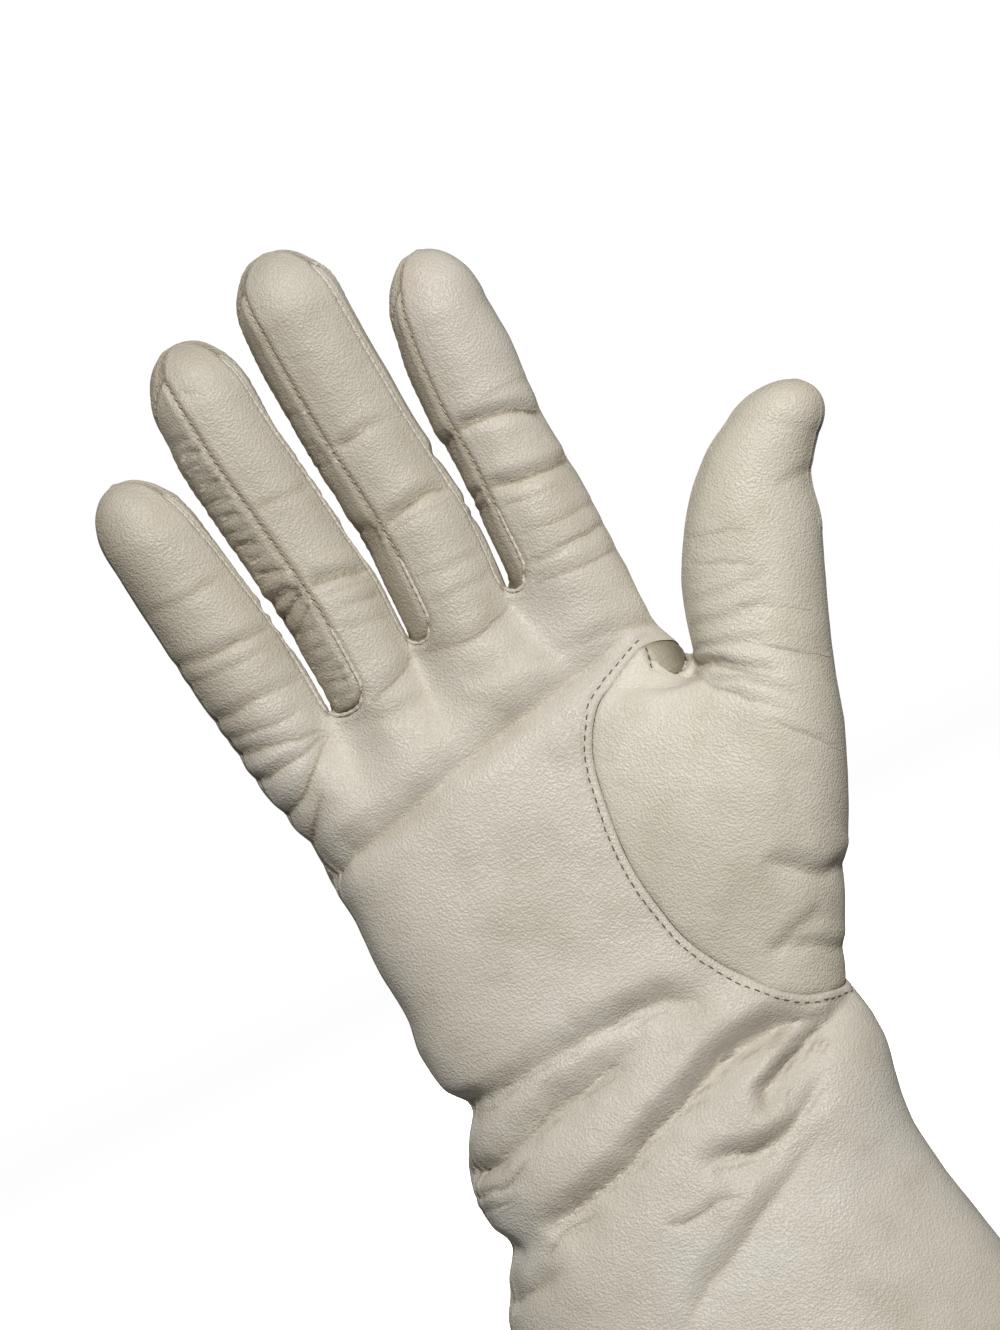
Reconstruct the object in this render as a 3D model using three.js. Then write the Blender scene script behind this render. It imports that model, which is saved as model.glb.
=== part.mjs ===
// A right-hand dress glove: thin leather over a knitted lining, shown filled, as a hand fills it.
// Millimetres. The fingers point up along +Z, the palm faces -Y and the thumb points to +X. The origin is the
// middle of the open end, where the arm goes in.
import * as THREE from "three";

// Driving dimensions
const WALL = 1.8; // leather and lining together
const SEAM_GAP = 0.3; // between two pieces sewn edge to edge
const LONGEST_MITER = 3; // in a sharp corner the gap's half width may grow by this much
const WRAP = 20; // half of the leather that goes round a finger's outer side, in degrees
const PUCKER = 1.6; // how far a finger's fork sags between the seams
const BLEND_FROM = 157; // height at which the palm starts to turn into four fingers
const LEVEL_TO = 166; // rows are level up to this height, and then follow the forks
const FOLD_SIDEWAYS = 0.3; // share of a fold's depth by which it also draws in the hand's sides
const BALL_REACH = { start: 0.36, end: 0.3 }; // how long the ball of the thumb keeps its edges' directions

// How finely the surface is divided
const ACROSS_FINGER = 4;
const ACROSS_FORK = 2;
const ACROSS_SIDE = 3;
const FINGER_ROWS = 12;
const TIP_ROW = 7; // the row at which a fingertip starts to round off
const SEAM_END_ROW = 9; // the row at which the side strips run out to a point
const THUMB_ROWS = 12;
const THUMB_BASE_ROWS = 5;
const HOLE_RINGS = 2;
const HAND_ROWS = [
  0, 3, 16, 30, 42, 50, 55, 59.5, 64, 68, 72, 76, 80, 84, 87.5, 91, 95, 99, 104, 112, 121, 131, 141, 149, 155,
  159, 162.5, 166,
];
const KNUCKLE_ROWS = 3;

const table = (columns, rows) =>
  rows.map((row) => Object.fromEntries(columns.map((name, i) => [name, row[i]])));

// The tube from the open end to the knuckles. Left and right are the outline seen from the palm side,
// front and back the depth each side of y = 0, and square how boxy the section is (2 is an ellipse).
const HAND_SIDES = table(
  ["z", "left", "right"],
  [
    [0, -55, 51.5],
    [22, -54, 49.5],
    [36, -52.5, 46.4],
    [46, -50.8, 44.3],
    [54, -49.4, 43.3],
    [60, -46.4, 43.6],
    [66, -42.9, 44.6],
    [72, -44.4, 45.6],
    [79, -45.3, 45.2],
    [86, -43.7, 43.6],
    [91, -40.6, 42.4],
    [96, -38.5, 41.2],
    [102, -41.0, 40.5],
    [110, -42.5, 39.6],
    [118, -41.7, 39.4],
    [130, -42.8, 39.6],
    [142, -42.9, 40.2],
    [151, -44.4, 41.0],
    [157, -44.1, 41.6],
    [160, -44.0, 42.0],
    [164, -45.8, 42.4],
    [169, -45.6, 40.6],
    [176, -48.4, 39.0],
    [184, -48.6, 38.8],
    [192, -49.5, 38.7],
  ],
);
const HAND_DEPTHS = table(
  ["z", "front", "back", "square"],
  [
    [0, 27, 26, 2.1],
    [30, 25, 24, 2.1],
    [55, 22.5, 22, 2.2],
    [78, 20.5, 20.5, 2.3],
    [96, 17.8, 18, 2.4],
    [115, 17.2, 17.5, 2.6],
    [135, 16.8, 16.8, 2.7],
    [155, 16.0, 15.2, 2.7],
    [175, 14.6, 13.4, 2.6],
    [195, 13.0, 12.0, 2.5],
  ],
);

// Each finger: its fork heights, the directions of its side strips (degrees round from the palm side, with
// the thumb side positive) and their half widths, then level sections up to where the tip rounds off.
// Centre is the depth of its middle line, deep its half depth and lean how far the tip shifts sideways.
const SECTION = ["z", "left", "right", "centre", "deep"];
const FINGERS = [
  {
    name: "little",
    tip: 242.9,
    lean: -2.0,
    base: { left: 179, right: 182 },
    side: { left: -90, right: 105 },
    strip: { left: WRAP, right: 33 },
    sections: table(SECTION, [
      [178, -49.2, -28.9, -2.6, 9.4],
      [190, -51.2, -29.5, -3.0, 9.3],
      [200, -52.7, -30.7, -3.6, 9.2],
      [212, -54.3, -32.8, -4.6, 9.0],
      [222, -55.6, -34.7, -6.0, 8.9],
      [229, -56.6, -36.3, -7.2, 8.6],
    ]),
  },
  {
    name: "ring",
    tip: 263.3,
    lean: -0.4,
    base: { left: 182, right: 188.6 },
    side: { left: -62, right: 105 },
    strip: { left: 48, right: 31 },
    sections: table(SECTION, [
      [180, -28.0, -8.2, -2.8, 9.9],
      [192, -28.8, -8.2, -3.2, 9.8],
      [204, -30.1, -8.4, -3.8, 9.8],
      [214, -31.5, -9.9, -4.6, 9.6],
      [226, -33.3, -11.3, -6.0, 9.6],
      [238, -34.7, -13.2, -8.0, 9.3],
      [249.3, -35.2, -14.5, -10.0, 8.9],
    ]),
  },
  {
    name: "middle",
    tip: 272.2,
    lean: -0.3,
    base: { left: 188.6, right: 189.8 },
    side: { left: -72, right: 105 },
    strip: { left: 38, right: 41 },
    sections: table(SECTION, [
      [186, -7.2, 14.6, -3.0, 10.2],
      [198, -7.4, 15.2, -3.4, 10.2],
      [208, -7.7, 15.1, -4.0, 10.0],
      [218, -8.6, 14.0, -4.8, 9.9],
      [230, -10.2, 12.6, -6.4, 9.9],
      [244, -11.1, 11.6, -8.8, 9.6],
      [258.2, -11.3, 10.8, -11.0, 9.2],
    ]),
  },
  {
    name: "index",
    tip: 259.3,
    lean: 0.6,
    base: { left: 189.8, right: 183 },
    side: { left: -76, right: 90 },
    strip: { left: 34, right: WRAP },
    sections: table(SECTION, [
      [182, 16.0, 38.8, -2.6, 10.0],
      [194, 16.2, 38.6, -3.2, 10.0],
      [206, 16.2, 38.1, -3.8, 9.8],
      [216, 16.2, 37.2, -4.6, 9.5],
      [224, 15.5, 37.0, -5.6, 9.6],
      [235, 15.4, 37.5, -7.4, 9.3],
      [245.3, 16.4, 36.5, -9.2, 8.9],
    ]),
  },
];

// The thumb's sections from the web to where its tip rounds off: the outline's left and right ends, the
// depth of the middle and the half depth.
const THUMB = table(
  ["leftX", "leftZ", "rightX", "rightZ", "centre", "deep"],
  [
    [44.0, 162.4, 65.6, 136.0, -8.0, 15.5],
    [44.9, 167.0, 70.6, 152.4, -9.3, 13.6],
    [47.0, 174.0, 75.4, 166.0, -10.5, 12.6],
    [50.7, 181.5, 79.2, 176.6, -11.6, 11.6],
    [56.0, 189.6, 80.2, 182.4, -12.8, 10.4],
    [63.0, 196.4, 82.2, 186.4, -14.0, 9.2],
    [70.2, 200.9, 85.4, 190.6, -15.0, 8.0],
  ],
);
const THUMB_TIP = { x: 86.2, y: -16.6, z: 202.1 };
const THUMB_BODY = 4 / 7; // share of the rows above the web that lie below the rounded tip

// The hole in the palm that the thumb is sewn into. Turn is the direction round the hand's section (0 is the
// palm side, 90 the thumb side), around is the matching direction round the thumb, from its web at -90.
const THUMB_HOLE = table(
  ["turn", "z", "around"],
  [
    [78, 165.4, -90],
    [56, 166.6, -75],
    [33, 162.6, -61],
    [23, 158.8, -50],
    [17, 150, -38],
    [14.6, 136, -26],
    [15.6, 122, -14],
    [20.5, 110, 2],
    [29, 99.5, 22],
    [43, 90.2, 44],
    [64, 86.6, 67],
    [92, 87.6, 92],
    [120, 95, 118],
    [130, 110, 143],
    [131, 128, 172],
    [128, 144, 202],
    [117, 155, 230],
    [98, 162.4, 254],
  ],
);
// The small gusset in the web fills the hole where the thumb's own edge drops away from it.
const QUIRK = { drop: 5.4, from: -105, to: -56 };
// How much the ball of the thumb swells past a straight line, on the palm side and on the thumb's outer edge.
const BALL = { palm: 0.34, edge: -0.05 };

// The main folds, each a line through three points of the front view that dents the leather. Face is
// -1 on the palm side and 1 on the back.
const FOLDS = table(
  ["face", "x0", "z0", "x1", "z1", "x2", "z2", "deep", "wide"],
  [
    [-1, -45, 81, -22, 87.5, 2, 93, 2.4, 3.2],
    [-1, -20, 100.5, 2, 99.5, 24, 90, 1.4, 3.0],
    [-1, -46, 60, -10, 76, 12, 85.5, 2.8, 3.6],
    [-1, 6, 84.5, 18, 86.2, 36, 82, 2.6, 3.0],
    [-1, 15, 75.5, 27, 78.6, 43, 82, 2.4, 3.0],
    [-1, -2, 59, 12, 64.6, 30, 68, 1.6, 3.4],
    [-1, -45, 153.5, -22, 158, 8, 163, 1.6, 3.4],
    [-1, 8, 166, 24, 169, 42, 168.5, 1.2, 3.4],
    [1, -47, 66, -12, 74, 30, 79, 2.0, 3.8],
    [1, -42, 97, -6, 91, 44, 89, 2.2, 3.8],
    [1, -20, 56, 12, 62, 46, 68, 1.6, 4.0],
    [1, -30, 108, 0, 105, 24, 99, 1.0, 3.6],
  ],
);

const radians = THREE.MathUtils.degToRad;
const degrees = THREE.MathUtils.radToDeg;
const { lerp, clamp } = THREE.MathUtils;
const smooth = (t) => t * t * (3 - 2 * t);
const signedPower = (value, power) => Math.sign(value) * Math.abs(value) ** power;

// Reads a column at a key between the rows, on a smooth curve through them.
function readAt(rows, key, column, at) {
  const slope = (i) => {
    const a = rows[Math.max(i - 1, 0)];
    const b = rows[Math.min(i + 1, rows.length - 1)];
    return (b[column] - a[column]) / (b[key] - a[key]);
  };
  const last = rows.length - 1;
  if (at <= rows[0][key]) return rows[0][column];
  if (at >= rows[last][key]) return rows[last][column];
  const i = rows.findIndex((row) => row[key] > at) - 1;
  const span = rows[i + 1][key] - rows[i][key];
  const t = (at - rows[i][key]) / span;
  const start = rows[i][column];
  const end = rows[i + 1][column];
  return (
    lerp(start, end, smooth(t)) +
    t * (1 - t) ** 2 * span * slope(i) -
    t * t * (1 - t) * span * slope(i + 1)
  );
}

// Fingers

const fingerCapStart = (finger) => finger.sections.at(-1).z;

// Height of a finger's row, 0 at its fork and 1 at its tip, and how far the section has shrunk there.
function fingerRow(finger, base, t) {
  const start = TIP_ROW / FINGER_ROWS;
  const cap = fingerCapStart(finger);
  if (t < start) return { z: lerp(base, cap, t / start), shrink: 1, rise: 0 };
  const turn = ((t - start) / (1 - start)) * (Math.PI / 2);
  const rise = Math.sin(turn);
  return { z: cap + (finger.tip - cap) * rise, shrink: Math.cos(turn), rise };
}

function fingerPoint(finger, base, t, angle) {
  const { z, shrink, rise } = fingerRow(finger, base, t);
  const at = (column) => readAt(finger.sections, "z", column, z);
  const half = ((at("right") - at("left")) / 2) * shrink;
  const middle = (at("right") + at("left")) / 2 + finger.lean * rise;
  return new THREE.Vector3(
    middle + half * Math.sin(radians(angle)),
    at("centre") - at("deep") * shrink * Math.cos(radians(angle)),
    z,
  );
}

// A fork's side strip narrows to a point near the tip. Leather that wraps round keeps its width.
function stripHalf(finger, side, t) {
  const half = finger.strip[side];
  if (half === WRAP) return half;
  const share = clamp(t / (SEAM_END_ROW / FINGER_ROWS), 0, 1);
  return half * (1 - share ** 3) ** 0.75;
}

// The four faces of a finger as the angles where each starts and ends, going round from the little side.
function faceAngles(finger, face, t) {
  const left = stripHalf(finger, "left", t);
  const right = stripHalf(finger, "right", t);
  const { left: toLeft, right: toRight } = finger.side;
  return {
    front: [toLeft + left, toRight - right],
    right: [toRight - right, toRight + right],
    back: [toRight + right, 360 + toLeft - left],
    left: [360 + toLeft - left, 360 + toLeft + left],
  }[face];
}

// The height of a finger's lowest row, part of the way across a face.
function baseHeight(finger, face, across) {
  const { left, right } = finger.base;
  return { front: lerp(left, right, across), right, back: lerp(right, left, across), left }[face];
}

function fingerFace(finger, face, across, t) {
  const [from, to] = faceAngles(finger, face, t);
  return fingerPoint(finger, baseHeight(finger, face, across), t, lerp(from, to, across));
}

// The direction in which a finger leaves the palm, as a step in x and y for each millimetre of height.
function fingerDirection(finger) {
  const [low, high] = finger.sections;
  const middle = (row) => (row.left + row.right) / 2;
  const height = high.z - low.z;
  return new THREE.Vector3((middle(high) - middle(low)) / height, (high.centre - low.centre) / height, 1);
}

// The bottom of the fork between a finger and the next: across goes from the one to the other, and
// down from the palm side to the back.
function forkPoint(finger, next, across, down) {
  const from = fingerFace(finger, "right", down, 0);
  const to = fingerFace(next, "left", 1 - down, 0);
  const point = from.lerp(to, across);
  point.z -= PUCKER * 4 * across * (1 - across);
  return point;
}

// The hand tube

// The columns round the tube at the forks, anticlockwise seen from above: where each ends, and the
// direction in which the finger above it goes.
function crownColumns() {
  const columns = [];
  const add = (count, makePoint, makeDirection, back) => {
    for (let i = 0; i < count; i++) {
      columns.push({ top: makePoint(i / count), direction: makeDirection(i / count), back });
    }
  };
  const addFace = (finger, face, count) =>
    add(count, (s) => fingerFace(finger, face, s, 0), () => fingerDirection(finger), face === "back");
  const addFork = (a, b, down) => {
    const across = (s) => (down ? 1 - s : s);
    const direction = (s) => fingerDirection(a).lerp(fingerDirection(b), across(s));
    add(ACROSS_FORK, (s) => forkPoint(a, b, across(s), down), direction, down === 1);
  };
  FINGERS.forEach((finger, i) => {
    addFace(finger, "front", ACROSS_FINGER);
    if (i < FINGERS.length - 1) addFork(finger, FINGERS[i + 1], 0);
  });
  addFace(FINGERS.at(-1), "right", ACROSS_SIDE);
  for (let i = FINGERS.length - 1; i >= 0; i--) {
    addFace(FINGERS[i], "back", ACROSS_FINGER);
    if (i > 0) addFork(FINGERS[i - 1], FINGERS[i], 1);
  }
  addFace(FINGERS[0], "left", ACROSS_SIDE);
  return columns;
}

// Gives each column its direction round the tube, from how far across the hand its top lies.
function placeColumns(columns) {
  const xs = columns.map((column) => column.top.x);
  const middle = (Math.max(...xs) + Math.min(...xs)) / 2;
  const half = (Math.max(...xs) - Math.min(...xs)) / 2 + 0.3;
  const sideStart = FINGERS.length * ACROSS_FINGER + (FINGERS.length - 1) * ACROSS_FORK;
  const backStart = sideStart + ACROSS_SIDE;
  const turnOf = (i, back) => {
    const share = degrees(Math.asin((columns[i].top.x - middle) / half));
    return back ? 180 - share : share;
  };
  const turns = columns.map((column, i) => turnOf(i, column.back));
  const wrap = (start, from, to) => {
    for (let i = 0; i < ACROSS_SIDE; i++) turns[start + i] = lerp(from, to, i / ACROSS_SIDE);
  };
  wrap(sideStart, turnOf(sideStart, false), turnOf(backStart, true));
  wrap(columns.length - ACROSS_SIDE, turnOf(columns.length - ACROSS_SIDE, true), 360 + turns[0]);
  columns.forEach((column, i) => (column.turn = turns[i]));
  return columns;
}

const CROWN = placeColumns(crownColumns());

// How far a point of the tube is pushed in by the folds on its face.
function foldDepth(x, z, turn) {
  const face = Math.cos(radians(turn)) > 0 ? -1 : 1;
  const facing = Math.sqrt(Math.abs(Math.cos(radians(turn))));
  let depth = 0;
  for (const fold of FOLDS) {
    if (fold.face !== face) continue;
    const s = (x - fold.x0) / (fold.x2 - fold.x0);
    const inside = clamp(Math.min(s, 1 - s) * 5 + 0.5, 0, 1);
    const bend = fold.z1 - (fold.z0 + fold.z2) / 2;
    const t = clamp(s, 0, 1);
    const line = lerp(fold.z0, fold.z2, t) + bend * 4 * t * (1 - t);
    depth += fold.deep * smooth(inside) * Math.exp(-(((z - line) / fold.wide) ** 2));
  }
  return depth * facing;
}

// The tube's own section, before it turns into fingers.
function tubePoint(turn, z) {
  const side = (column) => readAt(HAND_SIDES, "z", column, z);
  const depth = (column) => readAt(HAND_DEPTHS, "z", column, z);
  const power = 2 / depth("square");
  const sine = Math.sin(radians(turn));
  const cosine = Math.cos(radians(turn));
  const middle = (side("left") + side("right")) / 2;
  const half = (side("right") - side("left")) / 2;
  const x = middle + half * signedPower(sine, power);
  const dent = foldDepth(x, z, turn);
  const reach = cosine > 0 ? depth("front") : depth("back");
  return new THREE.Vector3(x - dent * FOLD_SIDEWAYS * sine, (dent - reach) * signedPower(cosine, power), z);
}

// The crown's top and direction at any turn round the tube.
function crownAt(turn) {
  const first = CROWN[0].turn;
  const wrapped = first + ((((turn - first) % 360) + 360) % 360);
  let i = CROWN.findIndex((column) => column.turn > wrapped + 1e-6) - 1;
  if (i < 0) i = CROWN.length - 1;
  const from = CROWN[i];
  const to = CROWN[(i + 1) % CROWN.length];
  const span = (((to.turn - from.turn) % 360) + 360) % 360;
  const t = clamp((wrapped - from.turn) / span, 0, 1);
  return {
    top: from.top.clone().lerp(to.top, t),
    direction: from.direction.clone().lerp(to.direction, t),
  };
}

// A point of the hand's surface at a turn round it and a height.
function handPoint(turn, z) {
  const point = tubePoint(turn, z);
  if (z <= BLEND_FROM) return point;
  const { top, direction } = crownAt(turn);
  const share = clamp((z - BLEND_FROM) / (top.z - BLEND_FROM), 0, 1);
  const finger = top.clone().addScaledVector(direction, z - top.z);
  return point.lerp(finger, smooth(share));
}

function rowHeight(row, turn) {
  if (row < HAND_ROWS.length) return HAND_ROWS[row];
  return lerp(LEVEL_TO, crownAt(turn).top.z, (row - HAND_ROWS.length + 1) / KNUCKLE_ROWS);
}

// The thumb

const HOLE = (() => {
  const points = THUMB_HOLE.map((row) => new THREE.Vector3(row.turn, row.z, 0));
  return new THREE.CatmullRomCurve3(points, true, "centripetal");
})();

// The direction round the thumb that matches a place along the hole, from 0 to 1.
function aroundAt(along) {
  const place = along * THUMB_HOLE.length;
  const i = Math.floor(place) % THUMB_HOLE.length;
  const from = THUMB_HOLE[i].around;
  const to = i + 1 < THUMB_HOLE.length ? THUMB_HOLE[i + 1].around : THUMB_HOLE[0].around + 360;
  return lerp(from, to, place - Math.floor(place));
}

// How far the thumb's edge lies below the hole's, which is where the gusset shows.
function quirkDrop(around) {
  const angle = around > 180 ? around - 360 : around;
  const t = (angle - QUIRK.from) / (QUIRK.to - QUIRK.from);
  return t <= 0 || t >= 1 ? 0 : QUIRK.drop * Math.sin(Math.PI * t);
}

function thumbSection(k, around) {
  const row = THUMB[k];
  const middle = new THREE.Vector3((row.leftX + row.rightX) / 2, row.centre, (row.leftZ + row.rightZ) / 2);
  const half = new THREE.Vector3((row.rightX - row.leftX) / 2, 0, (row.rightZ - row.leftZ) / 2);
  return middle
    .addScaledVector(half, Math.sin(radians(around)))
    .add(new THREE.Vector3(0, -row.deep * Math.cos(radians(around)), 0));
}

// The thumb above its web: sections, then a rounded tip. T runs from 0 at the web to 1 at the tip.
function thumbTube(around, t) {
  const tip = new THREE.Vector3(THUMB_TIP.x, THUMB_TIP.y, THUMB_TIP.z);
  const line = new THREE.CatmullRomCurve3(
    THUMB.map((_, k) => thumbSection(k, around)),
    false,
    "centripetal",
  );
  if (t <= THUMB_BODY) return line.getPoint(t / THUMB_BODY);
  const turn = ((t - THUMB_BODY) / (1 - THUMB_BODY)) * (Math.PI / 2);
  const rim = line.getPoint(1);
  const middle = thumbSection(THUMB.length - 1, 0).add(thumbSection(THUMB.length - 1, 180)).multiplyScalar(0.5);
  const rise = tip.clone().sub(middle);
  return middle
    .clone()
    .addScaledVector(rim.sub(middle), Math.cos(turn))
    .addScaledVector(rise, Math.sin(turn));
}

// The ball of the thumb: from the edge sewn to the palm, swelling out and into the tube above the web.
function thumbBase(turn, z, around, t) {
  const start = handPoint(turn, z);
  const end = thumbTube(around, 0);
  const reach = start.distanceTo(end);
  const outward = new THREE.Vector3(Math.sin(radians(turn)), -Math.cos(radians(turn)), 0);
  const swell = lerp(BALL.edge, BALL.palm, Math.cos(radians(around)) ** 2);
  const leave = end.clone().sub(start).normalize().addScaledVector(outward, swell).normalize();
  const arrive = thumbTube(around, 0.02).sub(end).normalize();
  const controls = [
    start,
    start.clone().addScaledVector(leave, reach * BALL_REACH.start),
    end.clone().addScaledVector(arrive, -reach * BALL_REACH.end),
    end,
  ];
  return new THREE.CubicBezierCurve3(...controls).getPoint(t);
}

// Surfaces to solids

// The whole outer surface as one mesh of shared points, with each face kept under its piece's name.
class Skin {
  points = [];
  pieces = new Map();
  #found = new Map();

  point(position) {
    const key = position.toArray().map((v) => Math.round(v * 500)).join();
    if (!this.#found.has(key)) this.#found.set(key, this.points.push(position.clone()) - 1);
    return this.#found.get(key);
  }

  face(piece, ...corners) {
    if (new Set(corners).size < 3) return;
    if (!this.pieces.has(piece)) this.pieces.set(piece, []);
    this.pieces.get(piece).push(corners);
  }

  // A grid of faces. At(i, j) gives its points, with i running to the right and j up, seen from outside.
  patch(piece, columns, rows, at) {
    const ids = [];
    for (let j = 0; j <= rows; j++) {
      ids.push([]);
      for (let i = 0; i <= columns; i++) ids[j].push(this.point(at(i, j)));
    }
    for (let j = 0; j < rows; j++) {
      for (let i = 0; i < columns; i++) {
        this.face(piece, ids[j][i], ids[j][i + 1], ids[j + 1][i + 1]);
        this.face(piece, ids[j][i], ids[j + 1][i + 1], ids[j + 1][i]);
      }
    }
  }

  normals() {
    const sums = this.points.map(() => new THREE.Vector3());
    for (const faces of this.pieces.values()) {
      for (const corners of faces) {
        const [a, b, c] = corners.map((id) => this.points[id]);
        const area = b.clone().sub(a).cross(c.clone().sub(a));
        corners.forEach((id) => sums[id].add(area));
      }
    }
    return sums.map((sum) => sum.normalize());
  }
}

// The edges of a piece that have a face on one side only, as start and end.
function rimOf(faces) {
  const edges = new Map();
  for (const [a, b, c] of faces) {
    for (const [from, to] of [[a, b], [b, c], [c, a]]) edges.set(`${from},${to}`, [from, to]);
  }
  return [...edges.values()].filter(([from, to]) => !edges.has(`${to},${from}`));
}

// How far each rim point steps back from the seam, within the surface. In a sharp corner it steps further.
function rimSteps(skin, rim, normals) {
  const sides = new Map();
  for (const [from, to] of rim) {
    const along = skin.points[to].clone().sub(skin.points[from]);
    for (const id of [from, to]) {
      const inward = normals[id].clone().cross(along).normalize();
      sides.set(id, [...(sides.get(id) ?? []), inward]);
    }
  }
  const steps = new Map();
  for (const [id, [a, b]] of sides) {
    const miter = a.clone().add(b).divideScalar(1 + a.dot(b) + 0.05);
    steps.set(id, miter.clampLength(1, LONGEST_MITER).multiplyScalar(SEAM_GAP / 2));
  }
  return steps;
}

// A piece of leather: its outer faces, the same faces a wall's thickness further in, and its edges.
function leatherPiece(skin, piece, normals) {
  const faces = skin.pieces.get(piece);
  const rim = rimOf(faces);
  const steps = rimSteps(skin, rim, normals);
  const positions = [];
  const index = [];
  const numbers = new Map();
  const numberOf = (id) => {
    if (!numbers.has(id)) {
      const outer = skin.points[id].clone().add(steps.get(id) ?? new THREE.Vector3());
      const inner = outer.clone().addScaledVector(normals[id], -WALL);
      numbers.set(id, positions.length / 3);
      positions.push(...outer.toArray(), ...inner.toArray());
    }
    return numbers.get(id);
  };
  for (const face of faces) {
    const [a, b, c] = face.map(numberOf);
    index.push(a, b, c, a + 1, c + 1, b + 1);
  }
  for (const [from, to] of rim) {
    const a = numberOf(from);
    const b = numberOf(to);
    // Both pieces at a seam split its wall along the same diagonal, so that the two walls stay parallel.
    if (from < to) index.push(b, a, a + 1, b, a + 1, b + 1);
    else index.push(b, a, b + 1, a, a + 1, b + 1);
  }
  const geometry = new THREE.BufferGeometry();
  geometry.setAttribute("position", new THREE.Float32BufferAttribute(positions, 3));
  geometry.setIndex(index);
  return geometry;
}

// The glove's pieces

// The tube round the palm, with a ring of faces that fits the thumb's hole into its rows and columns.
function addHand(skin) {
  const count = CROWN.length;
  const rows = HAND_ROWS.length - 1 + KNUCKLE_ROWS;
  const turnAt = (i) => CROWN[((i % count) + count) % count].turn + 360 * Math.floor(i / count);
  const at = (i, j) => handPoint(turnAt(i), rowHeight(j, turnAt(i)));
  const hole = holeBlock(turnAt);
  for (let j = 0; j < rows; j++) {
    for (let i = 0; i < count; i++) {
      const inside = i >= hole.left && i < hole.right && j >= hole.low && j < hole.high;
      if (!inside) skin.patch("trank", 1, 1, (u, v) => at(i + u, j + v));
    }
  }
  addHoleRings(skin, hole, turnAt);
}

// The block of rows and columns that the hole takes out of the tube, at least this far outside the hole.
const BLOCK_MARGIN = { turn: 3, z: 2 };
function holeBlock(turnAt) {
  const turns = THUMB_HOLE.map((row) => row.turn);
  const heights = THUMB_HOLE.map((row) => row.z);
  const last = (list, test) => list.length - 1 - [...list].reverse().findIndex(test);
  const columns = CROWN.map((_, i) => turnAt(i));
  return {
    left: last(columns, (turn) => turn < Math.min(...turns) - BLOCK_MARGIN.turn),
    right: columns.findIndex((turn) => turn > Math.max(...turns) + BLOCK_MARGIN.turn),
    low: last(HAND_ROWS, (z) => z < Math.min(...heights) - BLOCK_MARGIN.z),
    high: HAND_ROWS.length,
  };
}

// The block's outline, anticlockwise from its lower left corner, as turn and height.
function blockOutline(hole, turnAt) {
  const outline = [];
  const add = (i, j) => outline.push({ turn: turnAt(i), z: rowHeight(j, turnAt(i)) });
  for (let i = hole.left; i < hole.right; i++) add(i, hole.low);
  for (let j = hole.low; j < hole.high; j++) add(hole.right, j);
  for (let i = hole.right; i > hole.left; i--) add(i, hole.high);
  for (let j = hole.high; j > hole.low; j--) add(hole.left, j);
  return outline;
}

// For each point of the block's outline, the place along the hole that lies in the same direction from its
// middle. Places are looked for at this many steps along the hole.
const HOLE_MIDDLE = { turn: 70, z: 125 };
const MILLIMETRES_A_DEGREE = 0.75;
const HOLE_STEPS = 600;
function matchHole(outline) {
  const angleOf = (turn, z) => Math.atan2(z - HOLE_MIDDLE.z, (turn - HOLE_MIDDLE.turn) * MILLIMETRES_A_DEGREE);
  const places = [];
  for (let k = 0; k < HOLE_STEPS; k++) {
    const point = HOLE.getPoint(k / HOLE_STEPS);
    places.push({ along: k / HOLE_STEPS, angle: angleOf(point.x, point.y) });
  }
  const apart = (a, b) => Math.abs(Math.atan2(Math.sin(a - b), Math.cos(a - b)));
  return outline.map(({ turn, z }) => {
    const angle = angleOf(turn, z);
    const nearer = (a, b) => (apart(b.angle, angle) < apart(a.angle, angle) ? b : a);
    return places.reduce(nearer).along;
  });
}

function addHoleRings(skin, hole, turnAt) {
  const outline = blockOutline(hole, turnAt);
  const along = matchHole(outline);
  const count = outline.length;
  const edge = along.map((place) => {
    const point = HOLE.getPoint(place);
    return { turn: point.x, z: point.y, around: aroundAt(place) };
  });
  const ring = (i, j) => {
    const from = outline[i % count];
    const to = edge[i % count];
    const t = j / HOLE_RINGS;
    return handPoint(lerp(from.turn, to.turn, t), lerp(from.z, to.z, t));
  };
  skin.patch("trank", count, HOLE_RINGS, ring);
  addThumb(skin, edge);
}

function addThumb(skin, edge) {
  const count = edge.length;
  for (let i = 0; i < count; i++) {
    const pair = [edge[i], edge[(i + 1) % count]];
    const drops = pair.map(({ around }) => quirkDrop(around));
    if (Math.max(...drops) > 0) {
      skin.patch("thumb_quirk", 1, 1, (u, v) => handPoint(pair[u].turn, pair[u].z - v * drops[u]));
    }
  }
  const tubeRows = THUMB_ROWS - THUMB_BASE_ROWS;
  skin.patch("thumb", count, THUMB_ROWS, (i, j) => {
    const { turn, z, around } = edge[i % count];
    if (j <= THUMB_BASE_ROWS) return thumbBase(turn, z - quirkDrop(around), around, j / THUMB_BASE_ROWS);
    return thumbTube(around, (j - THUMB_BASE_ROWS) / tubeRows);
  });
}

function addFingers(skin) {
  FINGERS.forEach((finger, k) => {
    const strips = [
      { face: "front", columns: ACROSS_FINGER, piece: "trank", rows: FINGER_ROWS },
      { face: "back", columns: ACROSS_FINGER, piece: "trank", rows: FINGER_ROWS },
      sideStrip(finger, "right", k),
      sideStrip(finger, "left", k - 1),
    ];
    for (const { face, columns, piece, rows } of strips) {
      skin.patch(piece, columns, rows, (i, j) => fingerFace(finger, face, i / columns, j / FINGER_ROWS));
    }
  });
}

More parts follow.
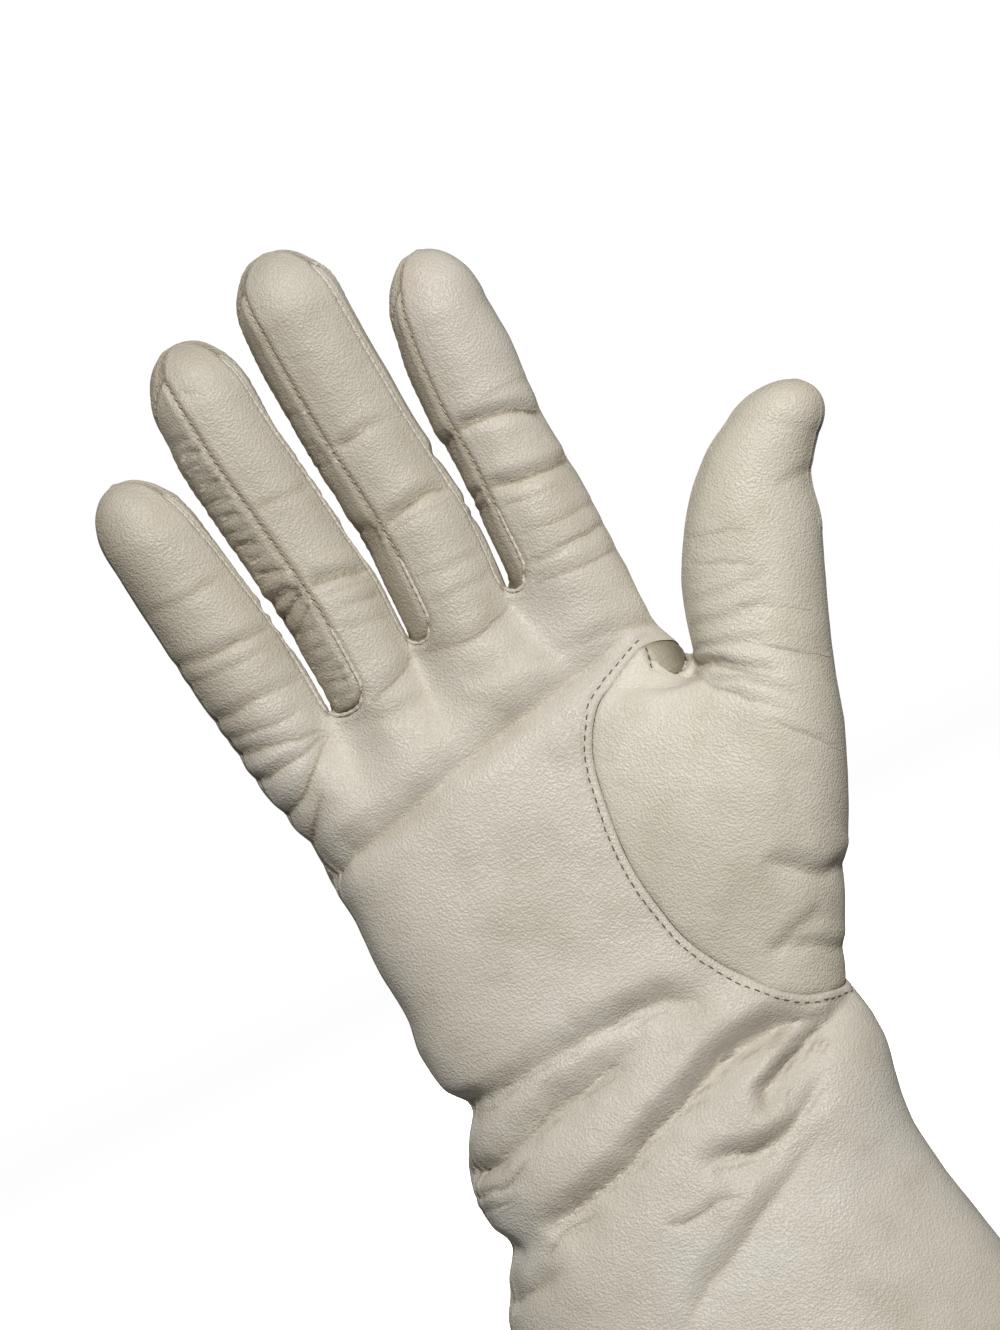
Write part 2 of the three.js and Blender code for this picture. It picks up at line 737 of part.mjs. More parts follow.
// A finger's side is part of the trank on the hand's outside, and otherwise half of a fourchette.
function sideStrip(finger, side, fork) {
  const wraps = finger.strip[side] === WRAP;
  return {
    face: side,
    columns: ACROSS_SIDE,
    piece: wraps ? "trank" : forkName(fork),
    rows: wraps ? FINGER_ROWS : SEAM_END_ROW,
  };
}

const forkName = (fork) => `fourchette_${FINGERS[fork].name}_${FINGERS[fork + 1].name}`;

function addForks(skin) {
  for (let k = 0; k < FINGERS.length - 1; k++) {
    const at = (i, j) => forkPoint(FINGERS[k], FINGERS[k + 1], i / ACROSS_FORK, j / ACROSS_SIDE);
    skin.patch(forkName(k), ACROSS_FORK, ACROSS_SIDE, at);
  }
}

const COLOURS = {
  trank: 0xcfc9ba,
  thumb: 0xd3ccb8,
  thumb_quirk: 0xc2bba8,
  fourchette: 0xc0b9a4,
};

function buildGlove() {
  const skin = new Skin();
  addHand(skin);
  addFingers(skin);
  addForks(skin);
  const normals = skin.normals();
  const glove = new THREE.Group();
  for (const piece of skin.pieces.keys()) {
    const color = COLOURS[piece] ?? COLOURS.fourchette;
    const material = new THREE.MeshStandardMaterial({ color, roughness: 0.55, metalness: 0 });
    const mesh = new THREE.Mesh(leatherPiece(skin, piece, normals), material);
    mesh.name = piece;
    glove.add(mesh);
  }
  return glove;
}

export default buildGlove();
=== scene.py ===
import bpy
import math
import numpy as np
from mathutils import Matrix, Vector
from mathutils.bvhtree import BVHTree
from mathutils.kdtree import KDTree


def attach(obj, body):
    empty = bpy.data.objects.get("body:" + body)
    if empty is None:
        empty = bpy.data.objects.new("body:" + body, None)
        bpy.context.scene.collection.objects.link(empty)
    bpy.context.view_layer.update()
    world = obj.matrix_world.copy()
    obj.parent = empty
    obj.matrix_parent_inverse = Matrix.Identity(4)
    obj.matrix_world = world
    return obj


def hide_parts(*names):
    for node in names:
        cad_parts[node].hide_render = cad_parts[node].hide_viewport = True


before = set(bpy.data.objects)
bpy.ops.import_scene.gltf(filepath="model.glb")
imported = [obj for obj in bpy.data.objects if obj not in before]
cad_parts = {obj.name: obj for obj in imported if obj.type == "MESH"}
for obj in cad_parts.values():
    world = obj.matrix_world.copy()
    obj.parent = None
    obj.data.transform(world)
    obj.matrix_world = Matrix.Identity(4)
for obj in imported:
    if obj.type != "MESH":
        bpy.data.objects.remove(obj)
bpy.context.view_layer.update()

MM = 0.001
WALL = 1.8  # leather and lining together, as in the frame

# The same surface as the frame's, in millimetres, but divided much more finely.


def table(columns, rows):
    """The columns by name."""
    return {name: np.array([row[i] for row in rows], float) for i, name in enumerate(columns)}


HAND_SIDES = table(
    ["z", "left", "right"],
    [
        (0, -55, 51.5), (22, -54, 49.5), (36, -52.5, 46.4), (46, -50.8, 44.3), (54, -49.4, 43.3),
        (60, -46.4, 43.6), (66, -42.9, 44.6), (72, -44.4, 45.6), (79, -45.3, 45.2), (86, -43.7, 43.6),
        (91, -40.6, 42.4), (96, -38.5, 41.2), (102, -41.0, 40.5), (110, -42.5, 39.6), (118, -41.7, 39.4),
        (130, -42.8, 39.6), (142, -42.9, 40.2), (151, -44.4, 41.0), (157, -44.1, 41.6), (160, -44.0, 42.0),
        (164, -45.8, 42.4), (169, -45.6, 40.6), (176, -48.4, 39.0), (184, -48.6, 38.8), (192, -49.5, 38.7),
    ],
)
HAND_DEPTHS = table(
    ["z", "front", "back", "square"],
    [
        (0, 27, 26, 2.1), (30, 25, 24, 2.1), (55, 22.5, 22, 2.2), (78, 20.5, 20.5, 2.3), (96, 17.8, 18, 2.4),
        (115, 17.2, 17.5, 2.6), (135, 16.8, 16.8, 2.7), (155, 16.0, 15.2, 2.7), (175, 14.6, 13.4, 2.6),
        (195, 13.0, 12.0, 2.5),
    ],
)
WRAP = 20  # the strip's half width, in degrees, where there is no strip and the leather wraps round
PUCKER = 1.6  # how far the leather sags at the bottom of a fork
BLEND_FROM = 157  # from this height on the hand runs over into the fingers
LEVEL_TO = 166
TIP_START = 7 / 12  # the share of a finger's rows where its rounded tip starts
SEAM_END = 9 / 12  # and where its strips end
FACE_COLUMNS, FORK_COLUMNS, SIDE_COLUMNS = 24, 10, 16  # round the hand, below each face, fork and side
OUTER_SEAM = 0.72  # where the outer seam runs between the little finger's back and its front
SECTION = ["z", "left", "right", "centre", "deep"]


def finger(name, tip, lean, base, side, strip, sections):
    return {"name": name, "tip": tip, "lean": lean, "base": base, "side": side, "strip": strip,
            "sections": table(SECTION, sections)}


FINGERS = [
    finger("little", 242.9, -2.0, (179, 182), (-90, 105), (WRAP, 33), [
        (178, -49.2, -28.9, -2.6, 9.4), (190, -51.2, -29.5, -3.0, 9.3), (200, -52.7, -30.7, -3.6, 9.2),
        (212, -54.3, -32.8, -4.6, 9.0), (222, -55.6, -34.7, -6.0, 8.9), (229, -56.6, -36.3, -7.2, 8.6)]),
    finger("ring", 263.3, -0.4, (182, 188.6), (-62, 105), (48, 31), [
        (180, -28.0, -8.2, -2.8, 9.9), (192, -28.8, -8.2, -3.2, 9.8), (204, -30.1, -8.4, -3.8, 9.8),
        (214, -31.5, -9.9, -4.6, 9.6), (226, -33.3, -11.3, -6.0, 9.6), (238, -34.7, -13.2, -8.0, 9.3),
        (249.3, -35.2, -14.5, -10.0, 8.9)]),
    finger("middle", 272.2, -0.3, (188.6, 189.8), (-72, 105), (38, 41), [
        (186, -7.2, 14.6, -3.0, 10.2), (198, -7.4, 15.2, -3.4, 10.2), (208, -7.7, 15.1, -4.0, 10.0),
        (218, -8.6, 14.0, -4.8, 9.9), (230, -10.2, 12.6, -6.4, 9.9), (244, -11.1, 11.6, -8.8, 9.6),
        (258.2, -11.3, 10.8, -11.0, 9.2)]),
    finger("index", 259.3, 0.6, (189.8, 183), (-76, 90), (34, WRAP), [
        (182, 16.0, 38.8, -2.6, 10.0), (194, 16.2, 38.6, -3.2, 10.0), (206, 16.2, 38.1, -3.8, 9.8),
        (216, 16.2, 37.2, -4.6, 9.5), (224, 15.5, 37.0, -5.6, 9.6), (235, 15.4, 37.5, -7.4, 9.3),
        (245.3, 16.4, 36.5, -9.2, 8.9)]),
]
THUMB = table(
    ["leftX", "leftZ", "rightX", "rightZ", "centre", "deep"],
    [
        (44.0, 162.4, 65.6, 136.0, -8.0, 15.5), (44.9, 167.0, 70.6, 152.4, -9.3, 13.6),
        (47.0, 174.0, 75.4, 166.0, -10.5, 12.6), (50.7, 181.5, 79.2, 176.6, -11.6, 11.6),
        (56.0, 189.6, 80.2, 182.4, -12.8, 10.4), (63.0, 196.4, 82.2, 186.4, -14.0, 9.2),
        (70.2, 200.9, 85.4, 190.6, -15.0, 8.0),
    ],
)
THUMB_TIP = np.array([86.2, -16.6, 202.1])
THUMB_BODY = 4 / 7
THUMB_HOLE = table(
    ["turn", "z", "around"],
    [
        (78, 165.4, -90), (56, 166.6, -75), (33, 162.6, -61), (23, 158.8, -50), (17, 150, -38),
        (14.6, 136, -26), (15.6, 122, -14), (20.5, 110, 2), (29, 99.5, 22), (43, 90.2, 44), (64, 86.6, 67),
        (92, 87.6, 92), (120, 95, 118), (130, 110, 143), (131, 128, 172), (128, 144, 202), (117, 155, 230),
        (98, 162.4, 254),
    ],
)
# The gusset in the web: the directions it covers, and its far edge (turn, z) from the front point
# round to the back.
QUIRK_FROM, QUIRK_TO = -107.5, -76
QUIRK_LOW = np.array([(57, 166.7), (53, 164), (51, 161.6), (54, 159.8), (61, 158.9), (70, 158.8), (80, 159.6),
                      (97.6, 162.5)])
BALL_SAG = 9  # how far the thumb's leather hangs under the gusset on its way to the web
BALL_PALM, BALL_EDGE = 0.34, -0.05  # how much it swells outward over the palm and at the hand's edge
BALL_LEAVE, BALL_ARRIVE = 0.36, 0.3  # how far it keeps its direction at the palm and at the thumb
SAG_MIDDLE, SAG_WIDE, SAG_REACH = -78, 20, 9  # the directions round the thumb that sag, and the full sag's reach


def smooth(t):
    return t * t * (3 - 2 * t)


def unit(v):
    return v / np.maximum(np.linalg.norm(v, axis=-1, keepdims=True), 1e-9)


def bell(d, wide):
    """1 where d is 0, fading out on both sides."""
    return np.exp(-(d / wide) ** 2)


def ramp(value, wide):
    """Rises from 0 to 1 while the value rises from 0 to wide."""
    return np.clip(value / wide, 0, 1)


def steps(*stretches):
    """Places in a row from stretches of (start, end, count). Only the last one includes its end."""
    last = len(stretches) - 1
    return np.concatenate([np.linspace(a, b, n, endpoint=k == last) for k, (a, b, n) in enumerate(stretches)])


def read(rows, at, *columns):
    """The values of a table's columns at some heights, on a smooth curve through its rows."""
    keys = rows["z"]
    last = len(keys) - 1
    low = np.maximum(np.arange(last + 1) - 1, 0)
    high = np.minimum(np.arange(last + 1) + 1, last)
    at = np.clip(at, keys[0], keys[-1])
    i = np.clip(np.searchsorted(keys, at, side="right") - 1, 0, last - 1)
    span = keys[i + 1] - keys[i]
    t = (at - keys[i]) / span
    found = []
    for values in (rows[column] for column in columns):
        slope = (values[high] - values[low]) / (keys[high] - keys[low])
        bend = t * (1 - t) ** 2 * span * slope[i] - t * t * (1 - t) * span * slope[i + 1]
        found.append(values[i] + (values[i + 1] - values[i]) * smooth(t) + bend)
    return found


def catmull(points, u, closed):
    """Centripetal curve through points, at places u from 0 to 1."""
    count = len(points)
    spans = count if closed else count - 1
    place = np.clip(np.asarray(u, float), 0, 1) * spans
    i = np.minimum(np.floor(place).astype(int), spans - 1)
    t = place - i
    if closed:
        p = [points[(i + k) % count] for k in (-1, 0, 1, 2)]
    else:
        padded = np.concatenate([[2 * points[0] - points[1]], points, [2 * points[-1] - points[-2]]])
        p = [padded[i + k] for k in range(4)]
    gap = [np.maximum(np.linalg.norm(p[k + 1] - p[k], axis=-1, keepdims=True) ** 0.5, 1e-4) for k in range(3)]
    t1 = (p[1] - p[0]) / gap[0] - (p[2] - p[0]) / (gap[0] + gap[1]) + (p[2] - p[1]) / gap[1]
    t2 = (p[2] - p[1]) / gap[1] - (p[3] - p[1]) / (gap[1] + gap[2]) + (p[3] - p[2]) / gap[2]
    t1, t2 = t1 * gap[1], t2 * gap[1]
    t = t.reshape(t.shape + (1,) * (p[1].ndim - t.ndim))
    c2 = -3 * p[1] + 3 * p[2] - 2 * t1 - t2
    c3 = 2 * p[1] - 2 * p[2] + t1 + t2
    return p[1] + t1 * t + c2 * t * t + c3 * t ** 3


# Fingers


def finger_point(f, base, t, angle):
    sections = f["sections"]
    cap = sections["z"][-1]
    turn = np.clip((t - TIP_START) / (1 - TIP_START), 0, 1) * math.pi / 2
    z = np.where(t < TIP_START, base + (cap - base) * np.clip(t / TIP_START, 0, 1),
                 cap + (f["tip"] - cap) * np.sin(turn))
    left, right, centre, deep = read(sections, z, "left", "right", "centre", "deep")
    shrink = np.cos(turn)
    half = (right - left) / 2 * shrink
    a = np.radians(angle)
    return np.stack(np.broadcast_arrays(
        (left + right) / 2 + f["lean"] * np.sin(turn) + half * np.sin(a),
        centre - deep * shrink * np.cos(a), z), axis=-1)


def strip_half(f, side, t):
    half = f["strip"][side]
    if half == WRAP:
        return np.full_like(t, half, dtype=float)
    share = np.clip(t / SEAM_END, 0, 1)
    return half * (1 - share ** 3) ** 0.75


# Towards the tip the side strips turn to the palm side, to these directions.
TIP_SIDES = {"little": (-90, 61), "ring": (-39, 60), "middle": (-55, 60), "index": (-46, 90)}


def face_point(f, face, across, t):
    across, t = np.broadcast_arrays(np.asarray(across, float), np.asarray(t, float))
    left, right = strip_half(f, 0, t), strip_half(f, 1, t)
    share = np.clip(t / SEAM_END, 0, 1)
    to_left = f["side"][0] + (TIP_SIDES[f["name"]][0] - f["side"][0]) * share ** 5
    to_right = f["side"][1] + (TIP_SIDES[f["name"]][1] - f["side"][1]) * share ** 3
    base_left, base_right = f["base"]
    if face == "front":
        low, high = to_left + left, to_right - right
        base = base_left + (base_right - base_left) * across
    elif face == "right":
        low, high, base = to_right - right, to_right + right, base_right
    elif face == "back":
        low, high = to_right + right, 360 + to_left - left
        base = base_right + (base_left - base_right) * across
    else:
        low, high, base = 360 + to_left - left, 360 + to_left + left, base_left
    return finger_point(f, base, t, low + (high - low) * across)


def finger_direction(f):
    s = f["sections"]
    height = s["z"][1] - s["z"][0]
    middle = (s["left"] + s["right"]) / 2
    return np.array([(middle[1] - middle[0]) / height, (s["centre"][1] - s["centre"][0]) / height, 1.0])


def fork_point(k, across, down):
    across, down = np.broadcast_arrays(np.asarray(across, float), np.asarray(down, float))
    a = face_point(FINGERS[k], "right", down, np.zeros_like(down))
    b = face_point(FINGERS[k + 1], "left", 1 - down, np.zeros_like(down))
    p = a + (b - a) * across[..., None]
    p[..., 2] -= PUCKER * 4 * across * (1 - across)
    return p


# The hand


def crown():
    """The columns round the hand at the forks: their tops, directions and turns round the hand."""
    tops, directions, back = [], [], []

    def add(points, direction, is_back):
        tops.append(points)
        directions.append(np.broadcast_to(direction, points.shape))
        back.extend([is_back] * len(points))

    s_face, s_fork, s_side = (np.arange(n) / n for n in (FACE_COLUMNS, FORK_COLUMNS, SIDE_COLUMNS))
    last = len(FINGERS) - 1
    for i, f in enumerate(FINGERS):
        add(face_point(f, "front", s_face, 0), finger_direction(f), False)
        if i < last:
            a, b = finger_direction(f), finger_direction(FINGERS[i + 1])
            add(fork_point(i, s_fork, 0), a + (b - a) * s_fork[:, None], False)
    add(face_point(FINGERS[-1], "right", s_side, 0), finger_direction(FINGERS[-1]), False)
    for i in range(last, -1, -1):
        add(face_point(FINGERS[i], "back", s_face, 0), finger_direction(FINGERS[i]), True)
        if i > 0:
            a, b = finger_direction(FINGERS[i]), finger_direction(FINGERS[i - 1])
            add(fork_point(i - 1, 1 - s_fork, 1), a + (b - a) * s_fork[:, None], True)
    add(face_point(FINGERS[0], "left", s_side, 0), finger_direction(FINGERS[0]), False)
    top, direction = np.concatenate(tops), np.concatenate(directions)
    xs = top[:, 0]
    middle, half = (xs.max() + xs.min()) / 2, (xs.max() - xs.min()) / 2 + 0.3
    share = np.degrees(np.arcsin((xs - middle) / half))
    turn = np.where(np.array(back), 180 - share, share)
    front_count = len(FINGERS) * FACE_COLUMNS + last * FORK_COLUMNS
    back_start = front_count + SIDE_COLUMNS

    def turn_of(i, is_back):
        v = math.degrees(math.asin((xs[i] - middle) / half))
        return 180 - v if is_back else v

    turn[front_count:back_start] = turn_of(front_count, False) + (
        turn_of(back_start, True) - turn_of(front_count, False)) * s_side
    start = len(turn) - SIDE_COLUMNS
    turn[start:] = turn_of(start, True) + (360 + turn[0] - turn_of(start, True)) * s_side
    return top, direction, turn


CROWN_TOP, CROWN_DIRECTION, CROWN_TURN = crown()


def crown_at(turn):
    """The top of the hand and the fingers' direction there, at turns round the hand."""
    first = CROWN_TURN[0]
    wrapped = first + np.mod(turn - first, 360)
    keys = np.append(CROWN_TURN, first + 360)
    return [np.stack([np.interp(wrapped, keys, np.append(values[:, k], values[0, k])) for k in range(3)], -1)
            for values in (CROWN_TOP, CROWN_DIRECTION)]


def tube_point(turn, z):
    left, right = read(HAND_SIDES, z, "left", "right")
    front, back, square = read(HAND_DEPTHS, z, "front", "back", "square")
    power = 2 / square
    s, c = np.sin(np.radians(turn)), np.cos(np.radians(turn))
    x = (left + right) / 2 + (right - left) / 2 * np.sign(s) * np.abs(s) ** power
    y = -np.where(c > 0, front, back) * np.sign(c) * np.abs(c) ** power
    return np.stack(np.broadcast_arrays(x, y, z), -1)


def hand_point(turn, z):
    turn, z = np.broadcast_arrays(np.asarray(turn, float), np.asarray(z, float))
    point = tube_point(turn, z)
    top, way = crown_at(turn)
    share = smooth(np.clip((z - BLEND_FROM) / (top[..., 2] - BLEND_FROM), 0, 1))[..., None]
    ahead = top + way * (z - top[..., 2])[..., None]
    return point + (ahead - point) * share


# The thumb

HOLE_POINTS = np.stack([THUMB_HOLE["turn"], THUMB_HOLE["z"]], -1)


def around_at(along):
    keys = np.arange(len(HOLE_POINTS) + 1)
    values = np.append(THUMB_HOLE["around"], THUMB_HOLE["around"][0] + 360)
    place = np.mod(np.asarray(along, float), 1) * len(HOLE_POINTS)
    total = 0
    offsets = np.linspace(-0.9, 0.9, 13)
    for o in offsets:
        p = place + o
        wrapped = np.mod(p, len(HOLE_POINTS))
        total = total + np.interp(wrapped, keys, values) + 360 * np.floor(p / len(HOLE_POINTS))
    return total / len(offsets)


def quirk_edge(turn, z, around):
    """Where the thumb's leather starts: the hole's edge or the gusset's far edge, and which of the two."""
    angle = np.where(around > 180, around - 360, around)
    share = (QUIRK_TO - angle) / (QUIRK_TO - QUIRK_FROM)
    gusset = (share > 0) & (share < 1)
    low = catmull(QUIRK_LOW, np.clip(share, 0, 1), False)
    return np.where(gusset, low[:, 0], turn), np.where(gusset, low[:, 1], z), gusset


def thumb_sections(around):
    t = THUMB
    a = np.radians(around)
    middle = np.stack([(t["leftX"] + t["rightX"]) / 2, t["centre"], (t["leftZ"] + t["rightZ"]) / 2], -1)
    half = np.stack([(t["rightX"] - t["leftX"]) / 2, 0 * t["centre"], (t["rightZ"] - t["leftZ"]) / 2], -1)
    shape = (len(middle),) + (1,) * np.ndim(a) + (3,)
    depth = np.zeros(shape)
    depth[..., 1] = t["deep"].reshape(shape[:-1])
    return (middle.reshape(shape) + half.reshape(shape) * np.sin(a)[None, ..., None]
            - depth * np.cos(a)[None, ..., None])


def thumb_tube(around, t):
    """Points for every direction (columns) at every t (rows)."""
    around, t = np.atleast_1d(around), np.atleast_1d(t)
    sections = thumb_sections(around)
    body = catmull(sections, np.clip(t / THUMB_BODY, 0, 1), False)
    rim = sections[-1]
    middle = np.array([(THUMB["leftX"][-1] + THUMB["rightX"][-1]) / 2, THUMB["centre"][-1],
                       (THUMB["leftZ"][-1] + THUMB["rightZ"][-1]) / 2])
    turn = (np.clip((t - THUMB_BODY) / (1 - THUMB_BODY), 0, 1) * math.pi / 2)[:, None, None]
    dome = middle + (rim - middle)[None] * np.cos(turn) + (THUMB_TIP - middle) * np.sin(turn)
    return np.where((t > THUMB_BODY)[:, None, None], dome, body)


def thumb_base(turn, z, around, t):
    start = hand_point(turn, z)
    end, after = thumb_tube(around, np.array([0, 0.02]))
    reach = np.linalg.norm(end - start, axis=-1, keepdims=True)
    a = np.radians(turn)
    outward = np.stack([np.sin(a), -np.cos(a), 0 * a], -1)
    swell = BALL_EDGE + (BALL_PALM - BALL_EDGE) * np.cos(np.radians(around)) ** 2
    leave = unit(unit(end - start) + outward * swell[:, None])
    arrive = unit(after - end)
    b = start + leave * reach * BALL_LEAVE
    c = end - arrive * reach * BALL_ARRIVE
    angle = np.where(around > 180, around - 360, around)
    sag = BALL_SAG * bell(angle - SAG_MIDDLE, SAG_WIDE)[:, None] * ramp(reach, SAG_REACH)
    b = b + sag * np.array([-0.25, 0, -0.9])
    c = c + sag * np.array([0, 0, -0.7])
    t = t[:, None, None]
    return (1 - t) ** 3 * start + 3 * t * (1 - t) ** 2 * b + 3 * t * t * (1 - t) * c + t ** 3 * end


# Meshes of quads, welded


class Sheet:
    def __init__(self):
        self.grids = []

    def grid(self, points, keep=None):
        """Rows of points, going up. Keep is a mask of the quads to keep."""
        self.grids.append((points, keep))

    def build(self):
        starts, everything, quads = 0, [], []
        for points, keep in self.grids:
            rows, columns = points.shape[:2]
            ids = starts + np.arange(rows * columns).reshape(rows, columns)
            q = np.stack([ids[:-1, :-1], ids[:-1, 1:], ids[1:, 1:], ids[1:, :-1]], -1)
            if keep is not None:
                q = q[keep]
            quads.append(q.reshape(-1, 4))
            everything.append(points.reshape(-1, 3))
            starts += rows * columns
        points, quads = np.concatenate(everything), np.concatenate(quads)
        _, first, back = np.unique(np.round(points / 0.004).astype(np.int64), axis=0,
                                   return_index=True, return_inverse=True)
        back = back.reshape(-1)
        points, quads = points[first], back[quads]
        distinct = np.array([len(set(q)) for q in quads.tolist()])
        quads = quads[distinct >= 3]
        used = np.unique(quads)
        renumber = np.full(len(points), -1)
        renumber[used] = np.arange(len(used))
        return points[used], renumber[quads]


def normals_of(points, quads):
    d1 = points[quads[:, 2]] - points[quads[:, 0]]
    d2 = points[quads[:, 3]] - points[quads[:, 1]]
    n = np.cross(d1, d2)
    total = np.zeros_like(points)
    for k in range(4):
        np.add.at(total, quads[:, k], n)
    return unit(total)


def faces_of(quads):
    faces = []
    for q in quads.tolist():
        face = []
        for v in q:
            if v not in face:
                face.append(v)
        faces.append(face)
    return faces


KNUCKLE_ROWS = 24  # between the level rows and the bottoms of the forks


def hand_grid():
    turns = np.append(CROWN_TURN, CROWN_TURN[0] + 360)
    low = steps((0, 4, 4), (4, 40, 24), (40, 112, 96), (112, LEVEL_TO, 60))
    top = crown_at(turns)[0][:, 2]
    share = (np.arange(1, KNUCKLE_ROWS + 1) / KNUCKLE_ROWS)[:, None]
    z = np.concatenate([np.repeat(low[:, None], len(turns), 1), LEVEL_TO + (top[None] - LEVEL_TO) * share])
    return turns, z, hand_point(turns[None], z), len(low)


HOLE_MIDDLE = (70, 125, 0.75)  # a point inside the thumb's hole (turn, z), and millimetres for a degree


def hole_match(turn, z):
    """The places along the hole's edge that face these points round it."""
    mid_turn, mid_z, scale = HOLE_MIDDLE
    u = np.linspace(0, 1, 2401)[:-1]
    p = catmull(HOLE_POINTS, u, True)
    angle = np.unwrap(np.arctan2(p[:, 1] - mid_z, (p[:, 0] - mid_turn) * scale))
    if angle[-1] < angle[0]:
        angle, u = angle[::-1], u[::-1]
    wanted = np.arctan2(z - mid_z, (turn - mid_turn) * scale)
    wanted = angle[0] + np.mod(wanted - angle[0], 2 * math.pi)
    return np.interp(wanted, angle, u)


def add_hand(sheet, shares):
    """Adds the hand with its hole for the thumb, and rings at these shares of the way to the hole's edge."""
    turns, z, points, level = hand_grid()
    left = np.flatnonzero(turns < THUMB_HOLE["turn"].min() - 3)[-1]
    right = np.flatnonzero(turns > THUMB_HOLE["turn"].max() + 3)[0]
    low = np.flatnonzero(z[:level, 0] < THUMB_HOLE["z"].min() - 2)[-1]
    high = level - 1 + KNUCKLE_ROWS // 3
    keep = np.ones((points.shape[0] - 1, points.shape[1] - 1), bool)
    keep[low:high, left:right] = False
    sheet.grid(points, keep)
    window = ([(low, i) for i in range(left, right)] + [(j, right) for j in range(low, high)]
              + [(high, i) for i in range(right, left, -1)] + [(j, left) for j in range(high, low, -1)])
    window.append(window[0])
    turn, z = np.array([(turns[i], z[j, i]) for j, i in window]).T
    along = hole_match(turn, z)
    hole = catmull(HOLE_POINTS, along, True)
    t = shares[:, None]
    sheet.grid(hand_point(turn + (hole[:, 0] - turn) * t, z + (hole[:, 1] - z) * t))
    return along, hole


def build_trank():
    sheet = Sheet()
    add_hand(sheet, np.linspace(0, 1, 15) ** 0.8)
    t = steps((0, TIP_START, 84), (TIP_START, SEAM_END, 8), (SEAM_END, 1, 15))[:, None]
    for f in FINGERS:
        wrapped = [side for side, half in zip(("left", "right"), f["strip"]) if half == WRAP]
        for face in ["front", "back"] + wrapped:
            count = 17 if face in wrapped else 25
            sheet.grid(face_point(f, face, np.linspace(0, 1, count)[None], t))
    return sheet


def build_fourchette(k):
    sheet = Sheet()
    t = steps((0, TIP_START, 84), (TIP_START, SEAM_END, 9))[:, None]
    s = np.linspace(0, 1, 17)
    sheet.grid(face_point(FINGERS[k], "right", s[None], t))
    sheet.grid(face_point(FINGERS[k + 1], "left", s[None], t))
    sheet.grid(fork_point(k, np.linspace(0, 1, 11)[None], s[:, None]))
    return sheet


THUMB_COLUMNS = 460


def thumb_edge(count):
    along = np.linspace(0, 1, count + 1)
    hole = catmull(HOLE_POINTS, along, True)
    around = around_at(along)
    around[-1] = around[0] + 360
    return hole[:, 0], hole[:, 1], around


def build_thumb():
    sheet = Sheet()
    turn, z, around = thumb_edge(THUMB_COLUMNS)
    turn, z, _ = quirk_edge(turn, z, around)
    base = thumb_base(turn, z, around, np.linspace(0, 1, 72, endpoint=False))
    sheet.grid(np.concatenate([base, thumb_tube(around, steps((0, THUMB_BODY, 62), (THUMB_BODY, 1, 20)))]))
    return sheet


def build_quirk():
    sheet = Sheet()
    turn, z, around = thumb_edge(2 * THUMB_COLUMNS)
    low_turn, low_z, gusset = quirk_edge(turn, z, around)
    # the edge runs down one side of the hole, so the gusset is a strip on each side of its start
    order = np.concatenate([np.arange(THUMB_COLUMNS, 2 * THUMB_COLUMNS), np.arange(0, THUMB_COLUMNS + 1)])
    live = [i for i in order if gusset[i]]
    t = np.linspace(0, 1, 25)[:, None]
    sheet.grid(hand_point(turn[live] * (1 - t) + low_turn[live] * t, z[live] * (1 - t) + low_z[live] * t))
    return sheet


def build_inside():
    """The whole inner surface, coarser, for the knitted lining."""
    sheet = Sheet()
    along, hole = add_hand(sheet, np.linspace(0, 1, 7))
    around = around_at(along)
    base = thumb_base(hole[:, 0], hole[:, 1], around, np.linspace(0, 1, 20, endpoint=False))
    sheet.grid(np.concatenate([base, thumb_tube(around, np.linspace(0, 1, 26))]))
    t = steps((0, TIP_START, 24), (TIP_START, 1, 13))[:, None]
    for k, f in enumerate(FINGERS):
        for face, count in (("front", 25), ("right", 17), ("back", 25), ("left", 17)):
            sheet.grid(face_point(f, face, np.linspace(0, 1, count)[None], t))
        if k < len(FINGERS) - 1:
            sheet.grid(fork_point(k, np.linspace(0, 1, 11)[None], np.linspace(0, 1, 17)[:, None]))
    return sheet


